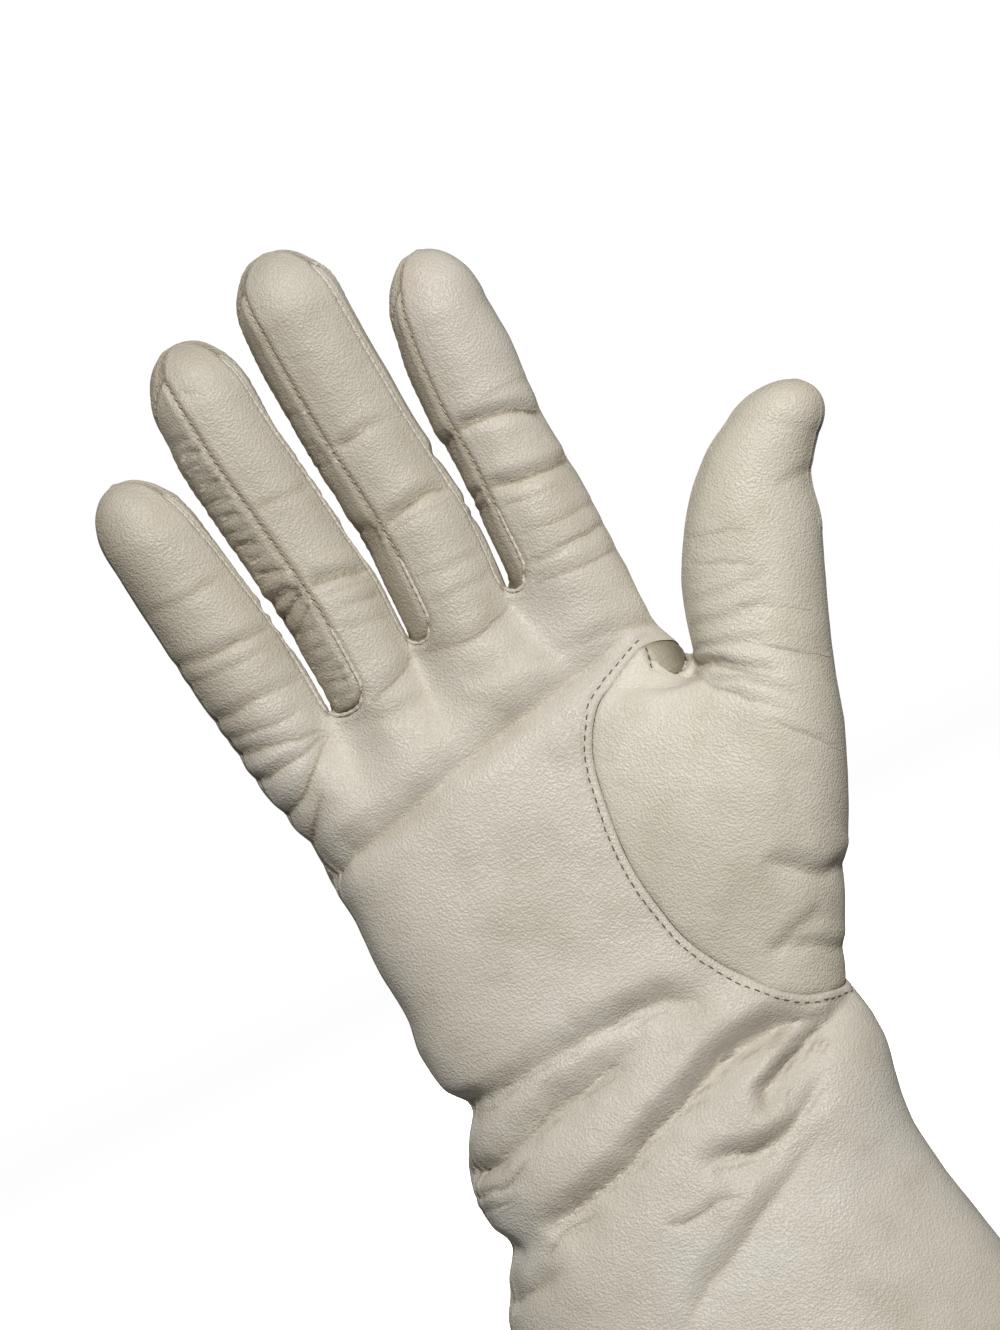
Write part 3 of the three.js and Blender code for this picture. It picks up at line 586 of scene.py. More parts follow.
# Folds of the palm side: lines of points in the front view (x, z, strength, about 0 to 1). Above its line a
# fold is a round roll that drops to the line, and below it the leather slopes up again.
# Each fold: its points, how deep it is, how wide above and below its line, and how high its crest.
WRIST_ROLLS = [
    ([(16, 96, 0), (12, 98.2, 0.5), (8, 99.8, 0.8), (0, 100.6, 0.9), (-8, 100.2, 0.8), (-16, 99.7, 0.6),
      (-24, 98.6, 0.6), (-32, 97.4, 0.7), (-40, 97, 0.9), (-44, 97, 1)], 3.0, 5.6, 3.4, 0.5),
    ([(2, 96.2, 0), (-4, 94.2, 0.4), (-8, 92.4, 0.7), (-13, 91.2, 0.8), (-20, 90, 1), (-26, 88.4, 1),
      (-33, 86.2, 1), (-38, 84.8, 1), (-44, 84.3, 1), (-48, 84, 1)], 4.4, 6.6, 2.9, 0.7),
    ([(37, 83.4, 0), (33, 84.4, 0.5), (29, 85.2, 0.8), (24, 85.7, 1), (18, 85.3, 1.1), (13, 84.3, 1.1),
      (8, 82.4, 1), (3, 80.4, 0.9), (-2, 78.4, 0.8), (-8, 76, 0.75), (-14, 73.2, 0.7), (-20, 71.2, 0.75),
      (-27, 69.4, 0.7), (-32, 68.2, 0.4), (-35, 67, 0)], 5.4, 5.6, 4.4, 0.9),
    ([(43, 84.5, 0.2), (38, 82.6, 0.6), (33, 81, 0.9), (28, 78.9, 1), (22, 76.6, 1), (18, 74.5, 0.8),
      (16.2, 71.5, 0.3), (15.5, 69.5, 0)], 4.2, 4.0, 5.0, 0.7),
    ([(-2, 66.6, 0), (2, 67.4, 0.4), (6, 66.2, 0.8), (10, 64.9, 1), (14, 64.5, 1), (18, 65.2, 0.9),
      (23, 67.6, 0.7), (28, 71.2, 0.4), (32, 74.5, 0)], 3.2, 5.0, 4.4, 0.5),
]
WRIST_CREASES = [
    ([(-12, 60, 0), (-9, 58.3, 1), (-5, 58.5, 1), (-1, 59.3, 0.8), (3, 58.7, 0.4),
      (6, 57.5, 0)], 0.7, 1.8, 1.0, 0.1),
    ([(-50, 79.5, 1), (-46, 79, 1), (-42, 79.6, 0.9), (-38, 79.2, 0.8), (-34, 81, 0.5),
      (-31, 83, 0)], 1.0, 2.4, 1.2, 0.2),
    ([(-49, 76, 1), (-44, 76.2, 0.9), (-39, 76.4, 0.6), (-36, 77, 0)], 0.6, 1.8, 1.0, 0.1),
    ([(-46, 71, 1), (-43.5, 69, 1), (-41.5, 66.5, 0.7), (-40, 64, 0)], 1.2, 2.4, 2.0, 0.2),
    ([(-37, 62.6, 0.4), (-32, 65.4, 0.8), (-27, 66.4, 0.6), (-23, 67.4, 0)], 0.7, 1.8, 1.2, 0.1),
    ([(-52, 56.4, 1), (-46, 57.6, 1), (-40, 58.6, 0.7), (-34, 60, 0)], 1.8, 5.0, 2.2, 0.3),
]
BROAD_FOLDS = [  # low on the wrist, and across the roots of the fingers
    ([(26, 63, 0), (20, 60, 0.6), (10, 55, 1), (0, 49.5, 1), (-10, 44.5, 0.8),
      (-20, 38, 0)], 1.8, 4.6, 8.0, 0.2),
    ([(34, 171, 0), (30, 169.8, 0.5), (25, 168.5, 0.8), (20, 167.3, 1), (15, 166.4, 1), (10, 165.3, 1),
      (5, 164.1, 1), (0, 162.9, 1), (-5, 162, 0.9), (-10, 160.9, 0.85), (-15, 159.3, 0.8),
      (-20, 157.9, 0.8), (-25, 156.7, 0.85), (-30, 155.4, 0.95), (-35, 154.5, 1), (-40, 153.2, 1.1),
      (-44, 151.3, 1.1), (-47, 150, 1.1)], 3.2, 7.0, 2.4, 0.5),
]
FINGER_CREASES = [
    # roots of the fingers
    ([(-31, 180, 0.2), (-36, 180, 0.6), (-41, 181.2, 0.9), (-47, 181.8, 1),
      (-53, 182.8, 1)], 1.1, 3.0, 1.6, 0.2),
    ([(-31, 179, 0.2), (-37, 177, 0.6), (-42, 176.4, 0.9), (-47, 176, 1),
      (-52, 176, 1)], 1.2, 3.0, 1.8, 0.2),
    ([(-31, 178.6, 0.3), (-35, 174.8, 0.6), (-39, 171, 0.9), (-42, 168.8, 1), (-46, 167, 1),
      (-49, 166, 1)], 1.3, 3.4, 2.2, 0.2),
    ([(-37, 168, 0), (-40, 165, 0.6), (-43, 161.5, 1), (-46, 158.5, 1), (-49, 157, 1)], 1.4, 3.4, 2.2, 0.2),
    ([(-30, 191.6, 0.2), (-36, 191.2, 0.5), (-43, 191, 0.8), (-50, 190.6, 1),
      (-55, 190.4, 1)], 0.9, 3.0, 1.5, 0.15),
    ([(-33, 186, 0), (-38, 185, 0.6), (-44, 185.3, 0.9), (-50, 186, 1),
      (-54, 186.5, 1)], 0.8, 2.6, 1.6, 0.15),
    ([(-21, 180.6, 0.3), (-16, 181.6, 0.8), (-11, 183.6, 0.9), (-8, 186.5, 0.3)], 0.8, 3.0, 2.4, 0.1),
    ([(-6, 185.6, 0.3), (2, 183.5, 0.8), (8, 184, 0.9), (14.5, 187.4, 0.3)], 0.8, 3.0, 2.4, 0.1),
    ([(20, 188.6, 0.3), (26, 187.4, 0.7), (34, 187, 0.8), (42, 188, 0.8)], 0.6, 2.6, 1.6, 0.1),
    # little finger
    ([(-56, 204.6, 0.6), (-50, 203.6, 0.8), (-44, 203, 1), (-38, 203, 0.8),
      (-31, 203.8, 0.4)], 0.9, 3.0, 1.2, 0.15),
    ([(-54, 199.6, 0.7), (-46, 199, 0.9), (-38, 199.4, 0.6), (-32, 200, 0)], 0.45, 2.0, 1.2, 0.1),
    # ring finger
    ([(-21.4, 207.5, 0.9), (-18, 206.6, 1), (-14, 205.9, 1), (-10, 205.7, 1),
      (-6, 206, 0.9)], 1.4, 3.4, 1.3, 0.25),
    ([(-20.5, 204.6, 0.6), (-16, 203.8, 0.8), (-11, 203.4, 0.3), (-8, 203.4, 0)], 0.4, 1.4, 0.9, 0.05),
    ([(-19, 201.2, 0), (-15, 200.6, 0.7), (-9, 200, 0.8), (-6, 200, 0.6)], 0.5, 2.0, 1.2, 0.05),
    ([(-21, 197, 0.2), (-16, 195.6, 0.7), (-10, 195.4, 0.5), (-7, 196, 0)], 0.35, 1.8, 1.2, 0.05),
    ([(-31.2, 254.6, 1), (-28.6, 254, 0.7), (-25.5, 252.4, 0.4), (-23, 251, 0)], 0.6, 1.4, 1.2, 0.1),
    # middle finger
    ([(-3.4, 211.8, 0.9), (0, 212.2, 1), (4, 213, 1), (8, 213.8, 0.9), (12, 213.6, 0.6),
      (15, 213, 0.3)], 1.4, 3.2, 1.3, 0.25),
    ([(-3, 209.8, 0.5), (2, 210.2, 0.7), (8, 211, 0.4), (12, 211.4, 0)], 0.4, 1.4, 0.9, 0.05),
    ([(-5.5, 229.8, 0.9), (-2, 230.2, 1), (2, 231, 0.7), (7, 231.2, 0.3), (10, 231, 0)], 0.8, 2.6, 1.1, 0.1),
    ([(-8.6, 262.8, 1), (-6.6, 262.6, 0.5), (-4.6, 262, 0)], 0.5, 1.2, 1.0, 0.1),
    ([(-8, 250.5, 0.3), (-4, 249.6, 0.7), (0, 249.4, 0.3), (3, 250, 0)], 0.25, 1.2, 0.9, 0.05),
    # index finger
    ([(15, 221.3, 1), (19.5, 222.8, 1), (24, 222.7, 1), (28.5, 222.2, 1), (33, 220.8, 1), (37, 219, 1),
      (41, 217.6, 1)], 1.6, 3.4, 1.4, 0.3),
    ([(15, 210.4, 0.9), (21.4, 209.2, 1), (27, 208.2, 1), (32, 207.8, 1), (36, 207.8, 1),
      (41, 208, 1)], 1.5, 3.2, 1.3, 0.3),
    ([(20, 205.4, 0.7), (25, 204.8, 0.7), (30, 204.4, 0.3), (33, 204.4, 0)], 0.35, 1.2, 0.9, 0.05),
    ([(22, 198.6, 0.3), (30, 197.4, 0.8), (38, 197.8, 1), (41, 198, 1)], 0.4, 2.0, 1.2, 0.05),
    ([(24, 193.4, 0.3), (31, 192.6, 0.8), (38, 193, 1), (42, 193, 1)], 0.4, 2.0, 1.2, 0.05),
]
BALL_FOLDS = [  # at the side of the thumb's ball
    ([(37, 117.5, 0), (40, 115.6, 0.6), (44, 112.6, 0.9), (48, 109.4, 1), (52, 108.4, 1),
      (57, 109.5, 1)], 1.5, 4.4, 3.2, 0.35),
    ([(30, 100.5, 0), (34, 99.4, 0.5), (38, 97.8, 0.8), (42, 95.6, 1), (46, 93.4, 1),
      (50, 92, 1)], 0.8, 3.0, 2.4, 0.15),
]
THUMB_CREASES = [
    ([(41.8, 160.4, 0.4), (44, 158.6, 0.9), (48, 155.6, 1), (54, 151.2, 0.4),
      (57, 149, 0)], 0.8, 2.2, 1.1, 0.12),
    ([(40.8, 158, 0.3), (43, 155, 0.7), (46, 151.4, 0.8), (52.5, 145.6, 0.4),
      (57, 142, 0)], 0.6, 2.2, 1.2, 0.1),
    ([(53.6, 159.6, 0), (58, 155.4, 0.9), (63, 152.2, 1), (68.3, 148.7, 0)], 0.35, 1.0, 0.6, 0.05),
    ([(50.6, 143.6, 0), (54.5, 139.4, 0.8), (58.4, 135, 1), (62.6, 130.1, 0)], 0.35, 1.0, 0.6, 0.05),
    ([(50, 178.6, 0.3), (54, 176.4, 0.9), (59, 174.2, 1), (63.9, 171.3, 0)], 0.3, 1.0, 0.6, 0.05),
    ([(52, 168.8, 0), (57, 165.2, 0.8), (62, 163, 1), (69, 159, 0)], 0.3, 1.0, 0.6, 0.05),
    ([(51, 184, 0.2), (56, 182, 0.8), (61, 180.4, 0.7), (65, 178, 0)], 0.25, 1.0, 0.6, 0.05),
]
PALM_FOLDS = WRIST_ROLLS + WRIST_CREASES + BROAD_FOLDS + FINGER_CREASES + BALL_FOLDS + THUMB_CREASES
# this one ends at the palm's edge and leaves the thumb alone
WEB_FOLD = ([(47, 169, 1), (44, 169.7, 1), (38, 170.8, 0.9), (34, 171.8, 0.6), (30, 172.4, 0.35),
             (22, 173.2, 0.3), (14, 173.8, 0.25), (8, 175, 0)], 1.5, 4.0, 1.6, 0.2)
# The strips between the fingers: creases across them, from the gap's side to the palm's side.
STRIP_FOLDS = {
    "fourchette_little_ring": [
        ([(-33.5, 206.4, 1), (-29, 207.6, 1), (-25, 208, 0.9), (-21, 207.4, 0.4)], 1.5, 2.4, 1.6, 0.2),
        ([(-33.5, 202.6, 1), (-29, 204, 1), (-25, 206, 0.8), (-21.4, 207, 0.2)], 1.9, 2.2, 2.0, 0.3),
        ([(-32.5, 198.8, 1), (-28, 200, 0.9), (-24, 203, 0.6), (-21.5, 205, 0)], 1.3, 3.0, 2.4, 0.2),
    ],
    "fourchette_ring_middle": [
        ([(-12, 213.4, 0.6), (-7, 212.4, 1), (-4.4, 212, 1), (-1, 212, 1)], 1.3, 4.0, 1.4, 0.2),
        ([(-12, 210.8, 0.6), (-7, 210.2, 1), (-4, 210, 0.9), (-1, 210, 0.6)], 0.8, 1.6, 1.8, 0.15),
        ([(-12, 208.6, 0.6), (-7, 208.2, 0.9), (-3, 208.6, 0)], 0.6, 1.4, 1.8, 0.1),
        ([(-14, 230.8, 0.5), (-9, 230.4, 0.9), (-5, 229.8, 0.9)], 0.6, 2.4, 1.0, 0.1),
        ([(-14, 228, 0.5), (-9, 227.8, 0.7), (-5, 227.6, 0.3)], 0.35, 1.4, 1.0, 0.05),
    ],
    "fourchette_middle_index": [
        ([(12, 220.6, 0.8), (16, 221.6, 1), (20, 222.8, 1)], 1.3, 3.0, 1.8, 0.2),
        ([(12, 208.6, 0.8), (16, 209.2, 1), (19.5, 209.6, 0.9)], 1.0, 2.4, 1.2, 0.15),
        ([(12, 205.6, 0.8), (16, 206.6, 1), (19.5, 207, 0.6)], 0.9, 1.6, 2.0, 0.15),
    ],
}


def bark(seed, left, right, low, high, gap):
    """Short irregular creases across a strip, between two heights."""
    rng = np.random.default_rng(seed)
    folds, z = [], low
    while z < high:
        share = (z - low) / (high - low)
        a, b = left[0] + (left[1] - left[0]) * share, right[0] + (right[1] - right[0]) * share
        start, end = rng.uniform(-0.1, 0.35), rng.uniform(0.6, 1.1)
        tilt, sag = rng.uniform(-1.6, 1.6), rng.uniform(-0.9, 0.9)
        points = []
        for s in np.linspace(start, end, 5):
            height = z + tilt * (s - 0.5) + sag * math.sin(math.pi * s) + rng.uniform(-0.25, 0.25)
            points.append((a + (b - a) * s, height, 0.0 if s in (start, end) else rng.uniform(0.6, 1.0)))
        folds.append((points, rng.uniform(0.35, 0.75), rng.uniform(1.0, 1.9), rng.uniform(0.5, 0.9), 0.12))
        z += gap * rng.uniform(0.55, 1.35)
    return folds


for strip, *how in (
    ("little_ring", 3, (-33, -37), (-22, -27), 208.5, 245, 2.3),
    ("little_ring", 4, (-33, -36.5), (-25, -29), 210, 243, 3.4),
    ("little_ring", 9, (-30, -31), (-20, -21.5), 183, 199, 3.2),
    ("ring_middle", 6, (-13, -13.5), (-5, -6), 215, 240, 6.5),
):
    STRIP_FOLDS["fourchette_" + strip] += bark(*how)

# Creases: lines of points in the front view (x, z), how deep and how wide each is above and below its line,
# how high the puffed ridge beside it is, and on which side of the line it lies (1 is above).
PALM_CREASES = [
    ([(-24, 178), (-16, 176), (-6, 178)], 0.35, 1.6, 1.6, 0.15, -1),
    ([(-2, 178), (6, 176), (16, 179)], 0.35, 1.8, 1.8, 0.15, -1),
    ([(18, 192), (28, 191.6), (40, 192.4)], 0.3, 0.7, 0.7, 0.12, 1),
    ([(25, 226), (32, 226.4), (39, 226)], 0.2, 0.7, 0.7, 0.1, 1),
    ([(-4, 199), (5, 198.4), (15, 199)], 0.22, 0.8, 0.8, 0.1, 1),
    ([(-4, 193.6), (5, 192.8), (15, 194)], 0.25, 0.8, 0.8, 0.1, 1),
    ([(-27, 226), (-20, 225.4), (-11, 226)], 0.28, 0.9, 0.9, 0.1, 1),
    ([(-55, 216), (-46, 215.4), (-35, 216.4)], 0.22, 1.0, 1.0, 0.1, 1),
    # thumb
    ([(41, 159.4), (48, 156.4), (58, 150)], 0.5, 1.0, 0.8, 0.25, 1),
    ([(41.5, 156), (50, 151.6), (60, 143)], 0.35, 1.0, 0.8, 0.2, 1),
    ([(43, 162), (50, 160), (60, 157)], 0.35, 0.9, 0.8, 0.2, 1),
    ([(44, 166.5), (52, 165), (62, 163.4)], 0.3, 0.9, 0.8, 0.15, 1),
    ([(46, 171), (54, 170), (66, 170)], 0.2, 0.8, 0.8, 0.1, 1),
    ([(30, 100), (38, 101), (46, 103)], 0.5, 1.6, 1.6, 0.2, 1),
    ([(72, 184), (77, 184.6), (83, 184.6)], 0.22, 1.2, 1.0, 0.1, 1),
]
BACK_CREASES = [
    ([(-47, 66), (-30, 70), (-12, 74), (30, 79)], 2.2, 2.6, 1.6, 0.7, -1),
    ([(-42, 97), (-24, 93), (-6, 91), (20, 90), (46, 88)], 2.3, 2.6, 1.6, 0.7, 1),
    ([(-20, 56), (12, 62), (47, 68)], 1.7, 3.2, 2.2, 0.5, 1),
    ([(-30, 108), (0, 105), (24, 99)], 1.0, 2.6, 2.0, 0.3, 1),
    ([(-44, 84), (-26, 82), (-6, 84)], 1.0, 2.0, 1.4, 0.4, 1),
    ([(10, 72), (26, 72.5), (45, 76)], 0.9, 1.8, 1.4, 0.3, 1),
    ([(-30, 224), (-22, 225), (-12, 224)], 0.4, 1.0, 1.0, 0.2, 1),
    ([(-8, 230), (2, 231), (12, 230)], 0.4, 1.0, 1.0, 0.2, 1),
    ([(17, 222), (27, 223), (37, 222)], 0.4, 1.0, 1.0, 0.2, 1),
    ([(-54, 214), (-45, 215), (-34, 214)], 0.35, 1.0, 1.0, 0.2, 1),
]


def line_of(points, step=0.8):
    p = np.array(points, float)
    count = max(int(np.linalg.norm(np.diff(p, axis=0), axis=1).sum() / step), 6)
    return catmull(p, np.linspace(0, 1, count), False)


def across_line(line):
    """For each point of a line, the direction across it, towards the fingertips."""
    way = unit(np.gradient(line[:, :2], axis=0))
    return np.stack([-way[:, 1], way[:, 0]], -1) * np.where(way[:, :1] < 0, -1.0, 1.0)


def near_line(xz, line, reach):
    """Which points lie in a box round the line, and their places beside it."""
    low, high = line[:, :2].min(0) - reach, line[:, :2].max(0) + reach
    near = np.flatnonzero(np.all((xz > low) & (xz < high), axis=1))
    return near, *nearest_on_line(xz[near], line[:, :2])


def nearest_on_line(xz, line):
    """Distance to the line, positive above it, and the place along it from 0 to 1."""
    best = np.full(len(xz), 1e9)
    side = np.zeros(len(xz))
    along = np.zeros(len(xz))
    for k in range(len(line) - 1):
        a, b = line[k], line[k + 1]
        d = b - a
        t = np.clip(((xz - a) @ d) / (d @ d), 0, 1)
        off = xz - a - t[:, None] * d
        dist = np.hypot(off[:, 0], off[:, 1])
        closer = dist < best
        best = np.where(closer, dist, best)
        sign = 1.0 if d[0] >= 0 else -1.0
        side = np.where(closer, np.where((d[0] * off[:, 1] - d[1] * off[:, 0]) * sign >= 0, 1, -1), side)
        along = np.where(closer, (k + t) / (len(line) - 1), along)
    return best * side, along


def crease_field(xz, creases, wobble):
    """How far in each point goes, and how deep in a crease it lies from 0 to 1, which is painted as shade."""
    depth, shade = np.zeros((2, len(xz)))
    for points, deep, above, below, ridge, side in creases:
        near, d, s = near_line(xz, line_of(points), 3 * max(above, below) + 2)
        d = d + wobble[near] * min(above, below) * 0.5
        taper = smooth(np.clip(np.minimum(s, 1 - s) * 5, 0, 1))
        wide = np.where(d > 0, above, below)
        valley = bell(d, wide)
        beside = bell(d - side * (above if side > 0 else below) * 2.1, 1.2 * wide)
        depth[near] += taper * (deep * valley - ridge * beside)
        shade[near] = np.maximum(shade[near], taper * valley * min(1, deep))
    return depth, shade


def fold_field(xz, folds, wobble):
    """How far in the folds push each point, and how close it is to a fold's bottom from 0 to 1, which is painted
    as shade.
    """
    depth, shade = np.zeros((2, len(xz)))
    for points, deep, above, below, crest in folds:
        line = line_of(points)
        near, d, s = near_line(xz, line, 3 * max(above, below))
        strength = np.interp(s, np.linspace(0, 1, len(line)), line[:, 2])
        strength = strength * smooth(np.clip(np.minimum(s, 1 - s) * len(line), 0, 1))
        d = d + wobble[near] * 0.35
        roll = (1 - ramp(d, above)) ** 1.8
        slope = np.exp(-np.clip(-d / below, 0, 9) ** 1.25)
        bulge = bell(d - above, 0.8 * above)
        depth[near] += strength * (deep * np.where(d > 0, roll, slope) - crest * bulge)
        shade[near] = np.maximum(shade[near], strength * bell(d, 0.7) * min(1, deep / 1.4))
    return depth, shade


def waves(points, seed, size, octaves=3):
    """Smooth noise from sines in many directions, about -1 to 1."""
    rng = np.random.default_rng(seed)
    total = np.zeros(len(points))
    weight = 0
    for o in range(octaves):
        for _ in range(6):
            way = unit(rng.normal(size=3)) * (2 * math.pi / size) * 2 ** o * rng.uniform(0.7, 1.4)
            total += np.sin(points @ way + rng.uniform(0, 6.28)) / 2 ** o
            weight += 0.5 / 2 ** o
    return total / weight


def wobble_of(points):
    """Bends the lines of the folds a little."""
    return waves(points, 5, 9, 2)


# Seams as dense lines of points

SEAM_STEP = 0.35


def dense(points):
    points = np.asarray(points, float)
    place = length_along(points)
    wanted = np.arange(0, place[-1], SEAM_STEP)
    return np.stack([np.interp(wanted, place, points[:, k]) for k in range(3)], -1)


def length_along(points):
    return np.concatenate([[0], np.cumsum(np.linalg.norm(np.diff(points, axis=0), axis=1))])


def seam_lines():
    lines = {}
    t = steps((0, TIP_START, 60), (TIP_START, SEAM_END, 20))
    for f in FINGERS:
        for side, hand in enumerate(("left", "right")):
            if f["strip"][side] != WRAP:
                name = "%s_%s_" % (f["name"], hand)
                lines[name + "front"] = face_point(f, hand, 1 - side, t)
                lines[name + "back"] = face_point(f, hand, side, t)
                lines[name + "tip"] = face_point(f, hand, 1 - side, np.linspace(SEAM_END, 0.985, 20))
    for k in range(len(FINGERS) - 1):
        across = np.linspace(0, 1, 30)
        lines["fork_%d_front" % k] = fork_point(k, across, 0)
        lines["fork_%d_back" % k] = fork_point(k, across, 1)
    lines["little_outer"] = face_point(FINGERS[0], "left", OUTER_SEAM, np.linspace(0, 0.97, 80))
    start = CROWN_TURN[-SIDE_COLUMNS]
    turn = start + (CROWN_TURN[0] + 360 - start) * OUTER_SEAM - 360
    z = np.linspace(0.5, 178, 200)
    lines["hand_outer"] = hand_point(turn + 0 * z, z)
    hole = catmull(HOLE_POINTS, np.linspace(0, 1, 500), True)
    lines["thumb_hole"] = hand_point(hole[:, 0], hole[:, 1])
    low = catmull(QUIRK_LOW, np.linspace(0, 1, 200), False)
    lines["quirk_low"] = hand_point(low[:, 0], low[:, 1])
    tip_side = 78.0  # the direction round the thumb in which the seam of its tip runs
    lines["thumb_tip"] = thumb_tube(tip_side, np.linspace(0.26, 0.97, 60))[:, 0]
    return {name: dense(line) for name, line in lines.items()}


SEAMS = seam_lines()
FORK_SEAMS = [name for name in SEAMS if name.startswith("fork")]
TIP_SEAMS = [name for name in SEAMS if name.endswith("_tip") and name != "thumb_tip"]
EDGE_SEAMS = [name for name in SEAMS if name.endswith(("_front", "_back")) and name not in FORK_SEAMS]


def picked(names):
    return [SEAMS[name] for name in names]


def seam_tree(names):
    points = np.concatenate(picked(names))
    tree = KDTree(len(points))
    for i, p in enumerate(points):
        tree.insert(p, i)
    tree.balance()
    return tree


def distance_to(tree, points, reach):
    out = np.full(len(points), 99.0)
    for i, p in enumerate(points):
        hit = tree.find(p)
        if hit[2] < reach:
            out[i] = hit[2]
    return out


TREES = {
    "sewn": seam_tree([name for name in SEAMS if name in EDGE_SEAMS + TIP_SEAMS + FORK_SEAMS]),
    "outer": seam_tree(["little_outer", "hand_outer"]),
    "hole": seam_tree(["thumb_hole"]),
    "quirk": seam_tree(["quirk_low"]),
    "thumb_tip": seam_tree(["thumb_tip"]),
}


def fork_corners():
    """The ends of the strips' edges: place, way into the opening, how far the corner moves."""
    corners = []
    for k in range(len(FINGERS) - 1):
        for side in ("front", "back"):
            ends = SEAMS["fork_%d_%s" % (k, side)][[0, -1]]
            for f, hand, amount in ((FINGERS[k], "right", 0.6), (FINGERS[k + 1], "left", 1.2)):
                edge = SEAMS["%s_%s_%s" % (f["name"], hand, side)]
                other = ends[np.argmax(np.linalg.norm(ends - edge[0], axis=1))]
                corners.append((edge[0], unit(unit(edge[8] - edge[0]) + unit(other - edge[0])), amount))
    return corners


CORNERS = fork_corners()


def rounding(points):
    """How far each point moves where the leather runs round the bottom of a fork."""
    move = np.zeros_like(points)
    for corner, way, amount in CORNERS:
        d = np.linalg.norm(points - corner, axis=1)
        move += amount * bell(d, 1.7)[:, None] * way
    return move


def relaxed(points, quads, rounds=30):
    """Rounds off the creases that run from the forks down into the palm, and holds the seams."""
    pairs = np.concatenate([quads[:, [k, (k + 1) % 4]] for k in range(4)])
    pairs = np.sort(pairs[pairs[:, 0] != pairs[:, 1]], axis=1)
    pairs, uses = np.unique(pairs, axis=0, return_counts=True)
    z = points[:, 2]
    weight = 0.6 * ramp(z - 150, 8) * ramp(198 - z, 10)
    weight[pairs[uses == 1]] = 0
    pairs = pairs[np.any(weight[pairs] > 0, axis=1)]
    one, two = np.concatenate([pairs[:, 0], pairs[:, 1]]), np.concatenate([pairs[:, 1], pairs[:, 0]])
    count = np.maximum(np.bincount(one, minlength=len(points)), 1)
    for _ in range(rounds):
        mean = np.stack([np.bincount(one, points[two, k], len(points)) / count for k in range(3)], -1)
        points = points + weight[:, None] * (mean - points)
    return points


def sides(normal):
    """How much each point belongs to the palm side and to the back, from 0 to 1."""
    return ramp(0.18 - normal[:, 1], 0.5), ramp(0.18 + normal[:, 1], 0.5)


